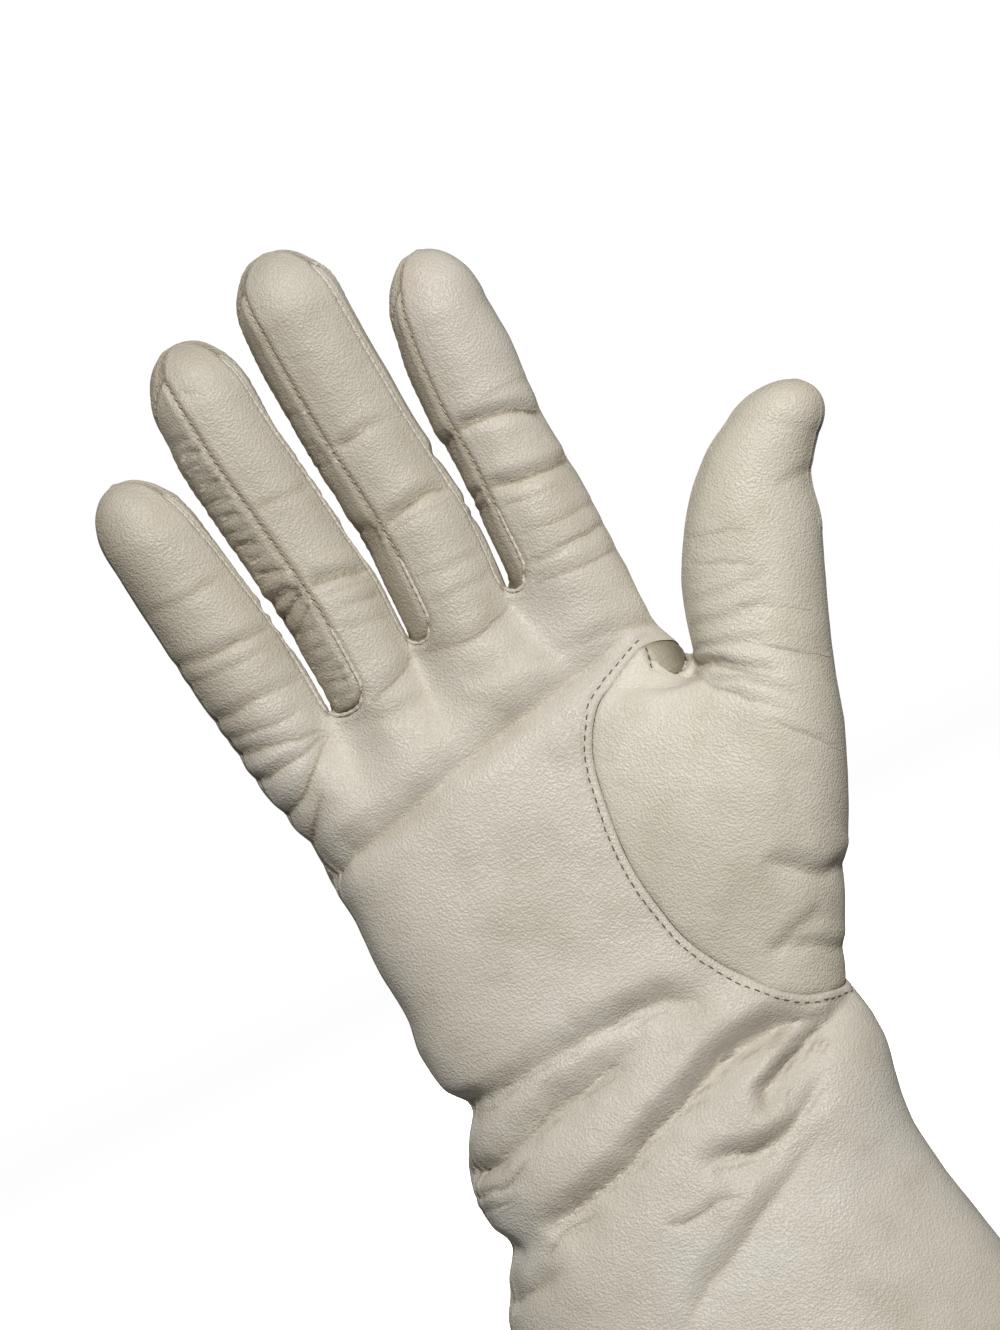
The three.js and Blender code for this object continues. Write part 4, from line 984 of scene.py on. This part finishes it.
def leather_shape(name, points, quads):
    """Pushes a piece's surface in and out: folds, creases, seams. Gives points, painted shade and seam tone."""
    if name == "trank":
        points = relaxed(points, quads)
    normal = normals_of(points, quads)
    x, z = points[:, 0], points[:, 2]
    xz = points[:, [0, 2]]
    wobble = wobble_of(points)
    facing, away = sides(normal)
    palm_depth, palm_shade = crease_field(xz, PALM_CREASES, wobble)
    fold_depth, fold_shade = fold_field(xz, PALM_FOLDS + ([] if name == "thumb" else [WEB_FOLD]), wobble)
    palm_depth, palm_shade = palm_depth + fold_depth, np.maximum(palm_shade, fold_shade)
    back_depth, back_shade = crease_field(xz, BACK_CREASES, wobble)
    if name.startswith("fourchette"):
        palm_depth, palm_shade = fold_field(xz, STRIP_FOLDS[name], wobble)
        facing = ramp(0.5 - normal[:, 1], 0.5)
    elif name == "thumb":
        facing = ramp(0.45 - normal[:, 1], 0.6)
    depth = palm_depth * facing + back_depth * away
    shade = palm_shade * facing + back_shade * away
    # a seam is stiff, so the folds run out on both sides of it
    sewn = distance_to(TREES["sewn"], points, 5)
    depth *= 1 - 0.92 * bell(np.minimum(sewn, distance_to(TREES["quirk"], points, 5)), 1.7)
    # soft unevenness of worn leather
    depth += 0.22 * waves(points, 11, 34, 2) + 0.07 * waves(points, 12, 11, 2)
    if name.startswith("fourchette"):
        # painted shade: the strips darker towards the bottom of their fork and on their sides that face left
        shade = np.maximum(shade, 1.5 * np.clip(1 - (z - z.min()) / 9, 0, 1))
        shade = np.maximum(shade, 0.9 * np.clip(-1.3 * normal[:, 0], 0, 1))
    if name == "thumb_quirk":
        # painted shade: the gusset darker towards the web, where it turns away
        shade = np.maximum(shade, 2 * ramp(x - 35, 6))
    pucker = 0.5 + 0.5 * np.sin(z * 2 * math.pi / 2.1 + x * 1.3)
    # each seam: its groove (deep, wide), the ridge beside it (high, away, wide), its tone (strong, wide)
    seams = [("sewn", 0.5, 0.5, 0.16 + 0.12 * pucker, 1.4, 0.8, 1, 0.45),
             ("outer", 0.45, 0.5, 0.2, 1.4, 0.7, 1, 0.6)]
    if name == "thumb":
        seams.append(("hole", 0.22, 0.7, 0, 0, 1, 0.7, 0.3))
    elif name != "trank":
        seams.append(("hole", 0.3, 0.8, 0, 0, 1, 0.8, 0.8))
    if name in ("thumb", "thumb_quirk"):
        seams.append(("quirk", 0.25, 0.5, 0.1, 1.4, 0.7, 0.6, 0.4))
    if name == "thumb":
        seams.append(("thumb_tip", 0.35, 0.45, 0.2, 1.3, 0.7, 0.8, 0.45))
    seam_and_crease_shade = np.zeros(len(points))
    for line, deep, wide, high, beside, ridge_wide, strong, tone_wide in seams:
        d = distance_to(TREES[line], points, 5)
        depth += deep * bell(d, wide) - high * bell(d - beside, ridge_wide)
        seam_and_crease_shade = np.maximum(seam_and_crease_shade, strong * bell(d, tone_wide))
    if name == "trank":
        # the thumb's seam: a lap 2 mm wide. Beyond the gusset's front point it turns under and hardly shows.
        d, lap = distance_to(TREES["hole"], points, 7), 2.0
        shown = 1 - 0.8 * ramp(x - 35, 3) * ramp(z - 160, 3)
        depth -= 0.12 * np.exp(-np.clip(d - lap, 0, 9) ** 2 / 1.2) * shown
        depth += 0.3 * bell(d, 0.35) * shown
        depth += 0.2 * bell(d - lap, 0.4) * shown
        seam_and_crease_shade = np.maximum(seam_and_crease_shade, 0.35 * bell(d - lap, 0.35) * shown)
        seam_and_crease_shade = np.maximum(seam_and_crease_shade, 0.6 * bell(d, 0.3) * shown)
        # painted shade on the palm side of the fingers: a little darker all over, more on the middle, ring and
        # little fingers and on their sides that face left
        low_hand = ramp(16 - x, 4)
        painted_shade = 0.14 + 0.34 * low_hand + 0.6 * np.clip(-1.3 * normal[:, 0], 0, 1)
        shade = shade + ramp(z - 176, 14) * facing * painted_shade
    elif name == "thumb":
        # painted shade on the thumb's palm side: darker towards its tip and on its side that faces right
        painted_shade = 0.55 * ramp(z - 184, 22) + 0.5 * np.clip(1.3 * normal[:, 0] - 0.3, 0, 1)
        shade = shade + facing * painted_shade
    return points - normal * depth[:, None] + rounding(points), shade, seam_and_crease_shade


# Materials


class Surface:
    """A new material, with short ways to add its nodes."""

    def __init__(self, name):
        self.material = bpy.data.materials.new(name)
        self.material.use_nodes = True
        self.tree = self.material.node_tree
        self.place = self.add("TexCoord").outputs["Object"]

    def feed(self, socket, value):
        """Links an output to the socket, or sets its value. A colour is given without its alpha."""
        if isinstance(value, bpy.types.NodeSocket):
            self.tree.links.new(value, socket)
        elif socket.type == "RGBA":
            socket.default_value = (*value, 1)
        else:
            socket.default_value = value

    def add(self, kind, inputs=None, **settings):
        node = self.tree.nodes.new("ShaderNode" + kind)
        for key, value in settings.items():
            setattr(node, key, value)
        for key, value in (inputs or {}).items():
            self.feed(node.inputs[key], value)
        return node

    def attribute(self, name):
        return self.add("Attribute", attribute_name=name).outputs["Fac"]

    def math(self, operation, a, b=0.0):
        return self.add("Math", {0: a, 1: b}, operation=operation).outputs[0]

    def mix(self, factor, a, b):
        return self.add("Mix", {"Factor": factor, "A": a, "B": b}, data_type="RGBA").outputs["Result"]

    def noise(self, scale, detail=2.0, rough=0.5, stretch=None, output="Fac"):
        place = self.place
        if stretch is not None:
            place = self.add("Mapping", {"Vector": place, "Scale": stretch}).outputs["Vector"]
        inputs = {"Vector": place, "Scale": scale, "Detail": detail, "Roughness": rough}
        return self.add("TexNoise", inputs).outputs[output]

    def spread(self, value, low, high, to_low=0.0, to_high=1.0):
        inputs = {"Value": value, "From Min": low, "From Max": high, "To Min": to_low, "To Max": to_high}
        return self.add("MapRange", inputs).outputs["Result"]

    def bump(self, height, strength, distance, under=None):
        node = self.add("Bump", {"Height": height, "Strength": strength, "Distance": distance})
        if under is not None:
            self.feed(node.inputs["Normal"], under)
        return node.outputs["Normal"]

    def done(self, inputs):
        """Feeds the shader and gives the material."""
        for key, value in inputs.items():
            self.feed(self.tree.nodes["Principled BSDF"].inputs[key], value)
        return self.material


SEAM_AND_CREASE_SHADE_TINT = (0.30, 0.245, 0.17)
STAIN_TINT = (0.50, 0.33, 0.24)
GRAIN_WARP = 0.0006


def leather_material(name, light, warm, dark):
    look = Surface(name)
    # grain: rounded cells about 0.5 mm across, and finer pores
    warp = look.noise(700, output="Color")
    bent = look.add("VectorMath", {0: warp, 1: (GRAIN_WARP,) * 3, 2: look.place}, operation="MULTIPLY_ADD")
    inputs = {"Scale": 2000, "Smoothness": 0.6, "Vector": bent.outputs[0]}
    cells = look.add("TexVoronoi", inputs, feature="SMOOTH_F1")
    grain = look.spread(cells.outputs["Distance"], 0.1, 0.75, 1.0, 0.0)
    pores = look.noise(2400, 2.0, 0.6)
    wrinkle = look.noise(1150, 3.0, 0.55, (0.8, 0.8, 1.8))
    fold = look.noise(120, 2.0, 0.5, (0.8, 0.8, 2.2))

    colour = look.mix(look.spread(look.noise(28, 3.0, 0.55), 0.35, 0.68), light, warm)
    for amount, most, tint in (
        (look.spread(look.noise(75), 0.5, 0.72), 0.3, dark),
        (grain, 0.16, dark),
        # painted shade, from each point's shade; the seam tone also carries the painted shade of the crease
        # strips
        (look.attribute("shade"), 0.5, dark),
        (look.attribute("seam_and_crease_shade"), 0.7, SEAM_AND_CREASE_SHADE_TINT),
        (look.attribute("stain"), 0.35, STAIN_TINT),
    ):
        colour = look.mix(look.math("MULTIPLY", amount, most), colour, tint)

    lines = look.math("MULTIPLY", wrinkle, look.math("MULTIPLY", look.attribute("crumple"), 0.62))
    lines = look.math("ADD", lines, look.math("MULTIPLY", fold, 0.22))
    height = look.math("ADD", look.math("MULTIPLY", grain, -0.55), look.math("MULTIPLY", pores, 0.25))
    return look.done({
        "Base Color": colour,
        "Normal": look.bump(height, 0.7, 0.0003, look.bump(lines, 0.5, 0.0006)),
        "Roughness": look.spread(look.noise(140), 0.3, 0.7, 0.41, 0.53),
        "Specular IOR Level": 0.45,
    })


def knit_material():
    """Fine cashmere rib: two columns of slanted loops in each wale, from the lining's own coordinates."""
    look = Surface("cashmere_knit")
    uv = look.add("UVMap", uv_map="knit").outputs["UV"]
    across, up = look.add("SeparateXYZ", {0: uv}).outputs[:2]
    half = look.math("ABSOLUTE", look.math("SUBTRACT", look.math("FRACT", across), 0.5))
    slant = look.math("FRACT", look.math("ADD", up, look.math("MULTIPLY", half, 1.3)))
    loop = look.math("SINE", look.math("MULTIPLY", slant, math.pi))
    wale = look.math("SINE", look.math("MULTIPLY", half, 2 * math.pi))
    height = look.math("MULTIPLY", loop, look.math("ABSOLUTE", wale))
    fuzz = look.math("MULTIPLY", look.noise(2600, 4), 0.4)
    # the knit's colour follows the loops' height: painted shade between the loops
    return look.done({
        "Base Color": look.mix(height, (0.42, 0.36, 0.27), (0.72, 0.66, 0.55)),
        "Normal": look.bump(look.math("ADD", height, fuzz), 0.8, 0.0006),
        "Roughness": 0.95,
        "Sheen Weight": 0.5,
        "Sheen Roughness": 0.4,
    })


def thread_material(name, dark, light):
    look = Surface(name)
    twist = look.add("TexWave", {"Scale": 1400, "Distortion": 2, "Vector": look.place}).outputs["Fac"]
    # darker in the twist's grooves: painted shade between the plies
    colour = look.mix(twist, dark, light)
    return look.done({"Base Color": colour, "Normal": look.bump(twist, 0.5, 0.00008), "Roughness": 0.7})


# Each leather's light, warm and dark tones. The gusset's tones are darker all over, painted shade in the web,
# and the strips' dark tone is deeper, for the painted shade on their sides.
TONES = {
    "leather_trank": ((0.64, 0.608, 0.545), (0.61, 0.566, 0.485), (0.39, 0.338, 0.245)),
    "leather_thumb": ((0.70, 0.665, 0.58), (0.66, 0.615, 0.51), (0.44, 0.385, 0.28)),
    "leather_fourchette": ((0.62, 0.585, 0.51), (0.58, 0.53, 0.44), (0.30, 0.255, 0.175)),
    "leather_quirk": ((0.54, 0.50, 0.41), (0.50, 0.45, 0.35), (0.20, 0.18, 0.13)),
}
LEATHER = {name: leather_material(name, *tones) for name, tones in TONES.items()}
KNIT = knit_material()
THREAD = thread_material("thread", (0.36, 0.31, 0.23), (0.60, 0.55, 0.45))
# darker thread for the thumb's seam and the gusset: painted shade where the stitches sink into their holes
SHADED_THREAD = thread_material("thread_with_painted_shade", (0.10, 0.085, 0.06), (0.20, 0.175, 0.135))


# Objects


def add_object(name, points, faces, material, tones=()):
    """A smooth mesh. Tones are each point's painted shade, seam tone (on the crease strips also painted shade),
    crumple and stain, which the leather reads.
    """
    mesh = bpy.data.meshes.new(name)
    mesh.from_pydata([tuple(p) for p in (np.asarray(points) * MM).tolist()], [], faces)
    mesh.update()
    mesh.polygons.foreach_set("use_smooth", [True] * len(mesh.polygons))
    for key, numbers in zip(("shade", "seam_and_crease_shade", "crumple", "stain"), tones):
        layer = mesh.attributes.new(key, "FLOAT", "POINT")
        layer.data.foreach_set("value", np.asarray(numbers, np.float32))
    mesh.materials.append(material)
    obj = bpy.data.objects.new(name, mesh)
    bpy.context.scene.collection.objects.link(obj)
    return obj


def crumple_of(points, shade):
    """Where the fine wrinkles are strong: the wrist, the web of the thumb, the finger joints."""
    x, z = points[:, 0], points[:, 2]
    wrist = bell(z - 82, 20)
    web = np.exp(-((x - 48) / 12) ** 2 - ((z - 154) / 12) ** 2)
    roots = 0.6 * bell(z - 176, 9)
    return np.clip(0.15 + 0.45 * wrist + 0.6 * web + roots * 0.5 + shade * 0.8, 0, 1.2)


STAINS = [((24, -14, 256), 4.5), ((86, -16, 196), 5.0), ((88, -14, 192), 4.0), ((-33, -12, 262), 3.0)]


def stain_of(points):
    value = np.zeros(len(points))
    rough = 0.6 + 0.4 * waves(points, 31, 5, 2)
    for centre, radius in STAINS:
        d = np.linalg.norm(points - np.array(centre), axis=1)
        value = np.maximum(value, bell(d, radius) * rough)
    return np.clip(value, 0, 1)


SLOTS = {"trank": "leather_trank", "thumb": "leather_thumb", "thumb_quirk": "leather_quirk"}
FOURCHETTES = ["fourchette_little_ring", "fourchette_ring_middle", "fourchette_middle_index"]
SLOTS.update({name: "leather_fourchette" for name in FOURCHETTES})
surfaces = {}


def make_piece(name, sheet):
    points, quads = sheet.build()
    shaped, shade, seam_and_crease_shade = leather_shape(name, points, quads)
    tones = (shade, seam_and_crease_shade, crumple_of(points, shade), stain_of(points))
    faces = faces_of(quads)
    obj = add_object(name + "_leather", shaped, faces, LEATHER[SLOTS[name]], tones)
    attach(obj, "root")
    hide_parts(name)
    surfaces[name] = BVHTree.FromPolygons([tuple(p) for p in shaped.tolist()], faces)


make_piece("trank", build_trank())
make_piece("thumb", build_thumb())
make_piece("thumb_quirk", build_quirk())
for k, name in enumerate(FOURCHETTES):
    make_piece(name, build_fourchette(k))


def make_lining():
    points, quads = build_inside().build()
    normal = normals_of(points, quads)
    facing, away = sides(normal)
    xz, wobble = points[:, [0, 2]], wobble_of(points)
    dent = fold_field(xz, PALM_FOLDS, wobble)[0] + crease_field(xz, PALM_CREASES, wobble)[0]
    dent = dent * facing + crease_field(xz, BACK_CREASES, wobble)[0] * away
    inner = points - normal * (WALL + np.clip(dent, 0, 9))[:, None]
    inner[:, 2] = np.maximum(inner[:, 2], 0.35)
    lining = add_object("lining", inner, [face[::-1] for face in faces_of(quads)], KNIT)
    corners = np.zeros(len(lining.data.loops), np.int32)
    lining.data.loops.foreach_get("vertex_index", corners)
    wales = inner[corners][:, [0, 2]] / (1.25, 1.0)  # a wale is 1.25 mm wide, a loop 1 mm high
    lining.data.uv_layers.new(name="knit").data.foreach_set("uv", wales.astype(np.float32).ravel())
    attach(lining, "root")


def make_hem():
    """The leather at the open end, turned in and sewn down."""
    turns = np.append(CROWN_TURN, CROWN_TURN[0] + 360)
    rim = hand_point(turns, 0 * turns)
    outward = np.stack([np.sin(np.radians(turns)), -np.cos(np.radians(turns)), 0 * turns], -1)
    outward = unit(outward * np.array([0.6, 1.0, 0.0]))
    # how far out and how high each line of the hem lies
    profile = [(-0.05, 1.2), (0.12, 0.7), (0.1, 0.35), (-0.4, 0.05), (-1.1, 0), (-1.7, 0.25), (-1.95, 0.8),
               (-1.95, 3.3), (-1.9, 7.8), (-1.75, 8.5)]
    sheet = Sheet()
    sheet.grid(np.stack([rim + outward * out + np.array([0, 0, high]) for out, high in profile[::-1]]))
    points, quads = sheet.build()
    none = np.zeros(len(points))
    tones = (none, none + 0.2, none + 0.2, none)
    hem = add_object("hem", points, faces_of(quads), LEATHER["leather_trank"], tones)
    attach(hem, "root")


make_lining()
make_hem()


# Stitches


def tube_faces(rings, count, start=0, inward=False):
    """The faces between rings of count points each."""
    faces = []
    for a in range(start, start + (rings - 1) * count, count):
        for i in range(count):
            j, b = (i + 1) % count, a + count
            faces.append((a + i, a + j, b + j, b + i) if inward else (a + i, b + i, b + j, a + j))
    return faces


def stitch_shape(length, thick):
    rings = [(-0.5, 0.25), (-0.42, 0.8), (-0.2, 1.0), (0.2, 1.0), (0.42, 0.8), (0.5, 0.25)]
    around = 6
    points = [(a * length, thick * r * math.cos(b), thick * r * math.sin(b))
              for a, r in rings for b in np.linspace(0, 2 * math.pi, around, endpoint=False)]
    ends = [tuple(range(around)), tuple(range(len(points) - 1, len(points) - 1 - around, -1))]
    return np.array(points), tube_faces(len(rings), around) + ends


def stitches(name, lines, on, pitch, length, thick, sink, offset=0.0, slant=0.0, thread=THREAD):
    """Rows of small stitches laid on the pieces along lines, moved sideways by offset."""
    shape, shape_faces = stitch_shape(length, thick)
    points, faces = [], []

    def nearest(at):
        return min([surfaces[piece].find_nearest(Vector(at)) for piece in on], key=lambda hit: hit[3])

    for line in lines:
        line = line + rounding(line)
        place = length_along(line)
        for s in np.arange(pitch * 0.5, place[-1] - pitch * 0.3, pitch):
            at, ahead, before = [np.array([np.interp(s + step, place, line[:, k]) for k in range(3)])
                                 for step in (0, 0.3, -0.3)]
            way = unit(ahead - before)
            hit = nearest(at)
            up = np.array(hit[1])
            if offset:
                hit = nearest(at + unit(np.cross(way, up)) * offset)
                up = np.array(hit[1])
            aside = unit(np.cross(up, way))
            way = unit(np.cross(aside, up))
            if slant:
                way = unit(way * math.cos(slant) + aside * math.sin(slant))
                aside = unit(np.cross(up, way))
            start = len(points) * len(shape)
            at = np.array(hit[0]) - up * sink
            points.append(at + shape[:, :1] * way + shape[:, 1:2] * aside + shape[:, 2:] * up)
            faces.extend([tuple(start + v for v in face) for face in shape_faces])
    obj = add_object(name, np.concatenate(points), faces, thread)
    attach(obj, "root")


def welt(name, lines, surface, radius):
    """The rolled edge of the leather along a seam, gathered a little by each stitch."""
    around, stitch, fade, smoothing = 8, 1.9, 1.2, 10
    turns = np.linspace(0, 2 * math.pi, around, endpoint=False)
    rings, faces, start = [], [], 0
    for line in lines:
        line = line + rounding(line)
        up = np.array([tuple(surfaces[surface].find_nearest(Vector(p))[1]) for p in line])
        window = np.ones(2 * smoothing + 1) / (2 * smoothing + 1)
        mean = [np.convolve(np.pad(up[:, k], smoothing, "edge"), window, "valid") for k in range(3)]
        up = unit(np.stack(mean, -1))
        aside = unit(np.cross(up, unit(np.gradient(line, axis=0))))
        along = np.arange(len(line)) * SEAM_STEP
        thick = radius * (1 + 0.16 * np.sin(2 * math.pi * along / stitch))
        thick = thick * np.clip(np.minimum(along, along[::-1]) / fade, 0.05, 1)
        centre = line - up * radius * 0.55
        cos, sin = np.cos(turns)[None, :, None], np.sin(turns)[None, :, None]
        ring = centre[:, None] + thick[:, None, None] * (cos * aside[:, None] + sin * up[:, None])
        rings.append(ring.reshape(-1, 3))
        faces += tube_faces(len(line), around, start, inward=True)
        start += len(line) * around
    points = np.concatenate(rings)
    none = np.zeros(len(points))
    tones = (none, none + 0.05, none + 0.3, none)
    obj = add_object(name, points, faces, LEATHER["leather_trank"], tones)
    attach(obj, "root")


RIGHT_EDGES = [n + part for n in ("little", "ring", "middle") for part in ("_right_front", "_right_back")]
LEFT_EDGES = [n + part for n in ("ring", "middle", "index") for part in ("_left_front", "_left_back")]
SHORT_WELT = 46  # the rolled edge on a finger's left side fades out after this many points
short_lines = [line[:SHORT_WELT] for line in picked(LEFT_EDGES)]
welt("welts", picked(RIGHT_EDGES) + short_lines + picked(FORK_SEAMS), "trank", 0.42)

# The crease strips: where their points lie across the crease, how much painted shade each carries, and how far
# they lie above the leather.
STRIP_OFFSETS = (-0.38, -0.13, 0.13, 0.38)
STRIP_TONES = (0.0, 0.85, 0.85, 0.0)
STRIP_LIFT = 0.075
IN_FRONT = -80  # from where each strip is laid onto the leather


def crease_shade_strips(name, folds, surface, facing=-0.35):
    """A narrow strip of leather along the bottom of each sharp crease, darkened as painted shade, fading at its
    ends and sides.
    """
    points, faces, values = [], [], []
    wide = len(STRIP_OFFSETS)

    def seen(x, z, limit):
        """The leather seen at a place in the front view, or None where it turns away."""
        hit = surfaces[surface].ray_cast(Vector((x, IN_FRONT, z)), Vector((0, 1, 0)))
        return None if hit[0] is None or hit[1][1] > limit else (np.array(hit[0]), np.array(hit[1]))

    def row_of(at, aside):
        middle = seen(*at, facing)
        if middle is None:
            return None
        shift = -0.35 * wobble_of(np.array([[at[0], middle[0][1], at[1]]]))[0]
        hits = [seen(*(at + aside * (off + shift)), facing + 0.05) for off in STRIP_OFFSETS]
        return None if any(hit is None for hit in hits) else [point + STRIP_LIFT * up for point, up in hits]

    for path, deep, *_ in folds:
        line = line_of(path, 0.4)
        rows = [row_of(p[:2], aside) for p, aside in zip(line, across_line(line))]
        place = np.arange(len(line))
        ends = np.clip(np.minimum(place, place[::-1]) / 5, 0, 1)
        for k in range(len(line) - 1):
            if rows[k] is None or rows[k + 1] is None or np.linalg.norm(rows[k][0] - rows[k + 1][0]) > 1.5:
                continue
            start = len(points)
            for n in (k, k + 1):
                strength = line[n, 2]
                strong = np.clip(strength, 0, 1) * ends[n] * min(1, deep / 0.9)
                points += rows[n]
                values += [(strength * min(1, deep / 1.4) * ends[n], strong * painted_shade) for painted_shade in STRIP_TONES]
            faces += [(i, i + 1, i + 1 + wide, i + wide) for i in range(start, start + wide - 1)]
    points = np.array(points)
    shade, seam_and_crease_shade = np.array(values).T
    # the palm's strips carry more painted shade
    darker = 0.3 if name == "crease_shade_strips_palm" else 0
    tones = (shade + darker, seam_and_crease_shade, crumple_of(points, shade), 0 * shade)
    obj = add_object(name, points, faces, LEATHER[SLOTS[surface]], tones)
    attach(obj, "root")


def beside_fold(seed, path, count, low, high):
    """Short fine creases that run along a fold, low to high mm above its bottom."""
    rng = np.random.default_rng(seed)
    line = line_of(path)
    aside = across_line(line)
    folds = []
    for _ in range(count):
        length = min(int(rng.integers(4, 10)), len(line) - 3)
        start = int(rng.integers(1, len(line) - length - 1))
        off = rng.uniform(low, high)
        turn = rng.uniform(-0.18, 0.18)
        points = []
        for k in range(length + 1):
            x, z, strength = line[start + k]
            side = aside[start + k] * (off + turn * k + rng.uniform(-0.12, 0.12))
            points.append((x + side[0], z + side[1], strength * math.sin(math.pi * k / length)))
        folds.append((points, rng.uniform(0.25, 0.6), 1, 1, 0))
    return folds


# How many fine creases run along each roll of the wrist, and between which distances from its bottom
ROLL_CREASES = [(14, -3.0, 0.6), (22, -3.4, 0.5), (30, -4.2, 0.6), (12, -3.6, 0.6), (10, -3.4, 0.6)]
wrist_lines = [fold for fold in WRIST_CREASES if fold[1] < 1.3]
for k, how in enumerate(ROLL_CREASES):
    wrist_lines += beside_fold(40 + k, WRIST_ROLLS[k][0], *how)
for k, fold in enumerate(WRIST_CREASES[1:]):
    wrist_lines += beside_fold(50 + k, fold[0], 2, -1.6, 1.2)
crease_shade_strips("crease_shade_strips_palm", FINGER_CREASES, "trank")
crease_shade_strips("crease_shade_strips_wrist", wrist_lines, "trank")
for name in STRIP_FOLDS:
    crease_shade_strips("crease_shade_strips_" + name, STRIP_FOLDS[name], name, -0.12)
crease_shade_strips("crease_shade_strips_thumb", THUMB_CREASES, "thumb")

# The thumb's seam shows its stitches up to the gusset's front point.
hole_line = SEAMS["thumb_hole"]
under = (hole_line[:, 0] > 35.5) & (hole_line[:, 2] > 150)
start = int(np.argmax(under & ~np.roll(under, 1)))
hole_line = np.roll(hole_line, -start, 0)[int(under.sum()):]
fine = {"pitch": 1.9, "length": 1.0, "thick": 0.12, "sink": 0.02, "slant": 0.5}
# the thumb's seam and the gusset's stitches take the thread with painted shade
stitches("stitches_thumb_seam", [hole_line], ["trank"], 2.05, 1.3, 0.2, 0.05, offset=2.05, thread=SHADED_THREAD)
stitches("stitches_fingers", picked(EDGE_SEAMS), ["trank"] + FOURCHETTES, 1.9, 1.1, 0.15, -0.14, slant=0.5)
stitches("stitches_tips", picked(TIP_SEAMS), ["trank"], **fine)
stitches("stitches_forks", picked(FORK_SEAMS), ["trank"], 1.7, 0.9, 0.13, -0.1, slant=0.9)
stitches("stitches_outer_seam", picked(["little_outer", "hand_outer"]), ["trank"], **fine)
stitches("stitches_thumb_tip", picked(["thumb_tip"]), ["thumb"], **fine)
stitches("stitches_quirk", picked(["quirk_low"]), ["thumb", "thumb_quirk"], 1.8, 1.1, 0.18, 0.02,
         thread=SHADED_THREAD)


# Stage, light and camera


def stage():
    """A pale round floor that curves up at its rim, the same from every side."""
    floor, flat, bend, top, around = -0.002, 2.7, 0.8, 3.4, 72
    path = [(0.001, floor), (1.2, floor)]
    quarter = np.linspace(0, math.pi / 2, 17)
    path += [(flat + bend * math.sin(a), floor + bend - bend * math.cos(a)) for a in quarter]
    path.append((flat + bend, top))
    points = [(r * math.sin(a), r * math.cos(a), z) for r, z in path
              for a in np.linspace(0, 2 * math.pi, around, endpoint=False)]
    mesh = bpy.data.meshes.new("floor")
    mesh.from_pydata(points, [], tube_faces(len(path), around))
    mesh.polygons.foreach_set("use_smooth", [True] * len(mesh.polygons))
    # white paper, lit evenly from outside the picture
    inputs = {"Base Color": (0.9, 0.9, 0.9), "Emission Color": (1, 1, 1), "Emission Strength": 0.88}
    mesh.materials.append(Surface("floor").done({"Roughness": 0.9, **inputs}))
    obj = bpy.data.objects.new("floor", mesh)
    # the floor shows, but throws no light onto the glove
    obj.visible_diffuse = False
    obj.visible_glossy = False
    bpy.context.scene.collection.objects.link(obj)


stage()

bpy.context.scene.view_settings.view_transform = "Standard"
world = bpy.data.worlds.new("studio")
bpy.context.scene.world = world
world.use_nodes = True
world.node_tree.nodes["Background"].inputs["Color"].default_value = (1, 1, 1, 1)
world.node_tree.nodes["Background"].inputs["Strength"].default_value = 0.08


def area_light(name, place, size, power, shine=True):
    light = bpy.data.lights.new(name, "AREA")
    light.shape = "DISK"
    light.size = size
    light.energy = power
    light.color = (1.0, 0.985, 0.955)
    obj = bpy.data.objects.new(name, light)
    obj.visible_camera = False
    obj.visible_glossy = shine
    obj.location = place
    obj.rotation_euler = (Vector((0, 0, 0.15)) - Vector(place)).to_track_quat("-Z", "Y").to_euler()
    bpy.context.scene.collection.objects.link(obj)


area_light("key", (0.25, -1.25, 0.75), 0.30, 19.5)
area_light("behind", (-0.3, 1.5, 0.9), 0.6, 26, shine=False)
area_light("left", (-1.5, 0.8, 0.6), 0.5, 4.5, shine=False)
area_light("right", (1.5, 0.8, 0.6), 0.5, 4.5, shine=False)

# The camera looks straight at the palm, rolled so that the fingers lean to the left as in the photo.
TILT = math.radians(25.5)
SCALE = 0.205 * MM  # metres across one pixel of the photo, at the glove
PHOTO_WIDTH, PHOTO_MIDDLE = 1000, (500, 665)
WRIST_PIXEL = (640, 1035)  # where the wrist lies in the photo
DISTANCE = 1.1
SENSOR = 36
right = Vector((math.cos(TILT), 0, -math.sin(TILT)))
up = Vector((math.sin(TILT), 0, math.cos(TILT)))
back = right.cross(up)
wrist = Vector((0, -0.006, 0.095))
centre = wrist + right * (PHOTO_MIDDLE[0] - WRIST_PIXEL[0]) * SCALE
centre += up * (WRIST_PIXEL[1] - PHOTO_MIDDLE[1]) * SCALE
camera_data = bpy.data.cameras.new("camera")
camera_data.sensor_fit = "HORIZONTAL"
camera_data.sensor_width = SENSOR
camera_data.lens = SENSOR * DISTANCE / (PHOTO_WIDTH * SCALE)
camera = bpy.data.objects.new("camera", camera_data)
camera.matrix_world = Matrix((
    (right.x, up.x, back.x, centre.x + back.x * DISTANCE),
    (right.y, up.y, back.y, centre.y + back.y * DISTANCE),
    (right.z, up.z, back.z, centre.z + back.z * DISTANCE),
    (0, 0, 0, 1),
))
bpy.context.scene.collection.objects.link(camera)
bpy.context.scene.camera = camera
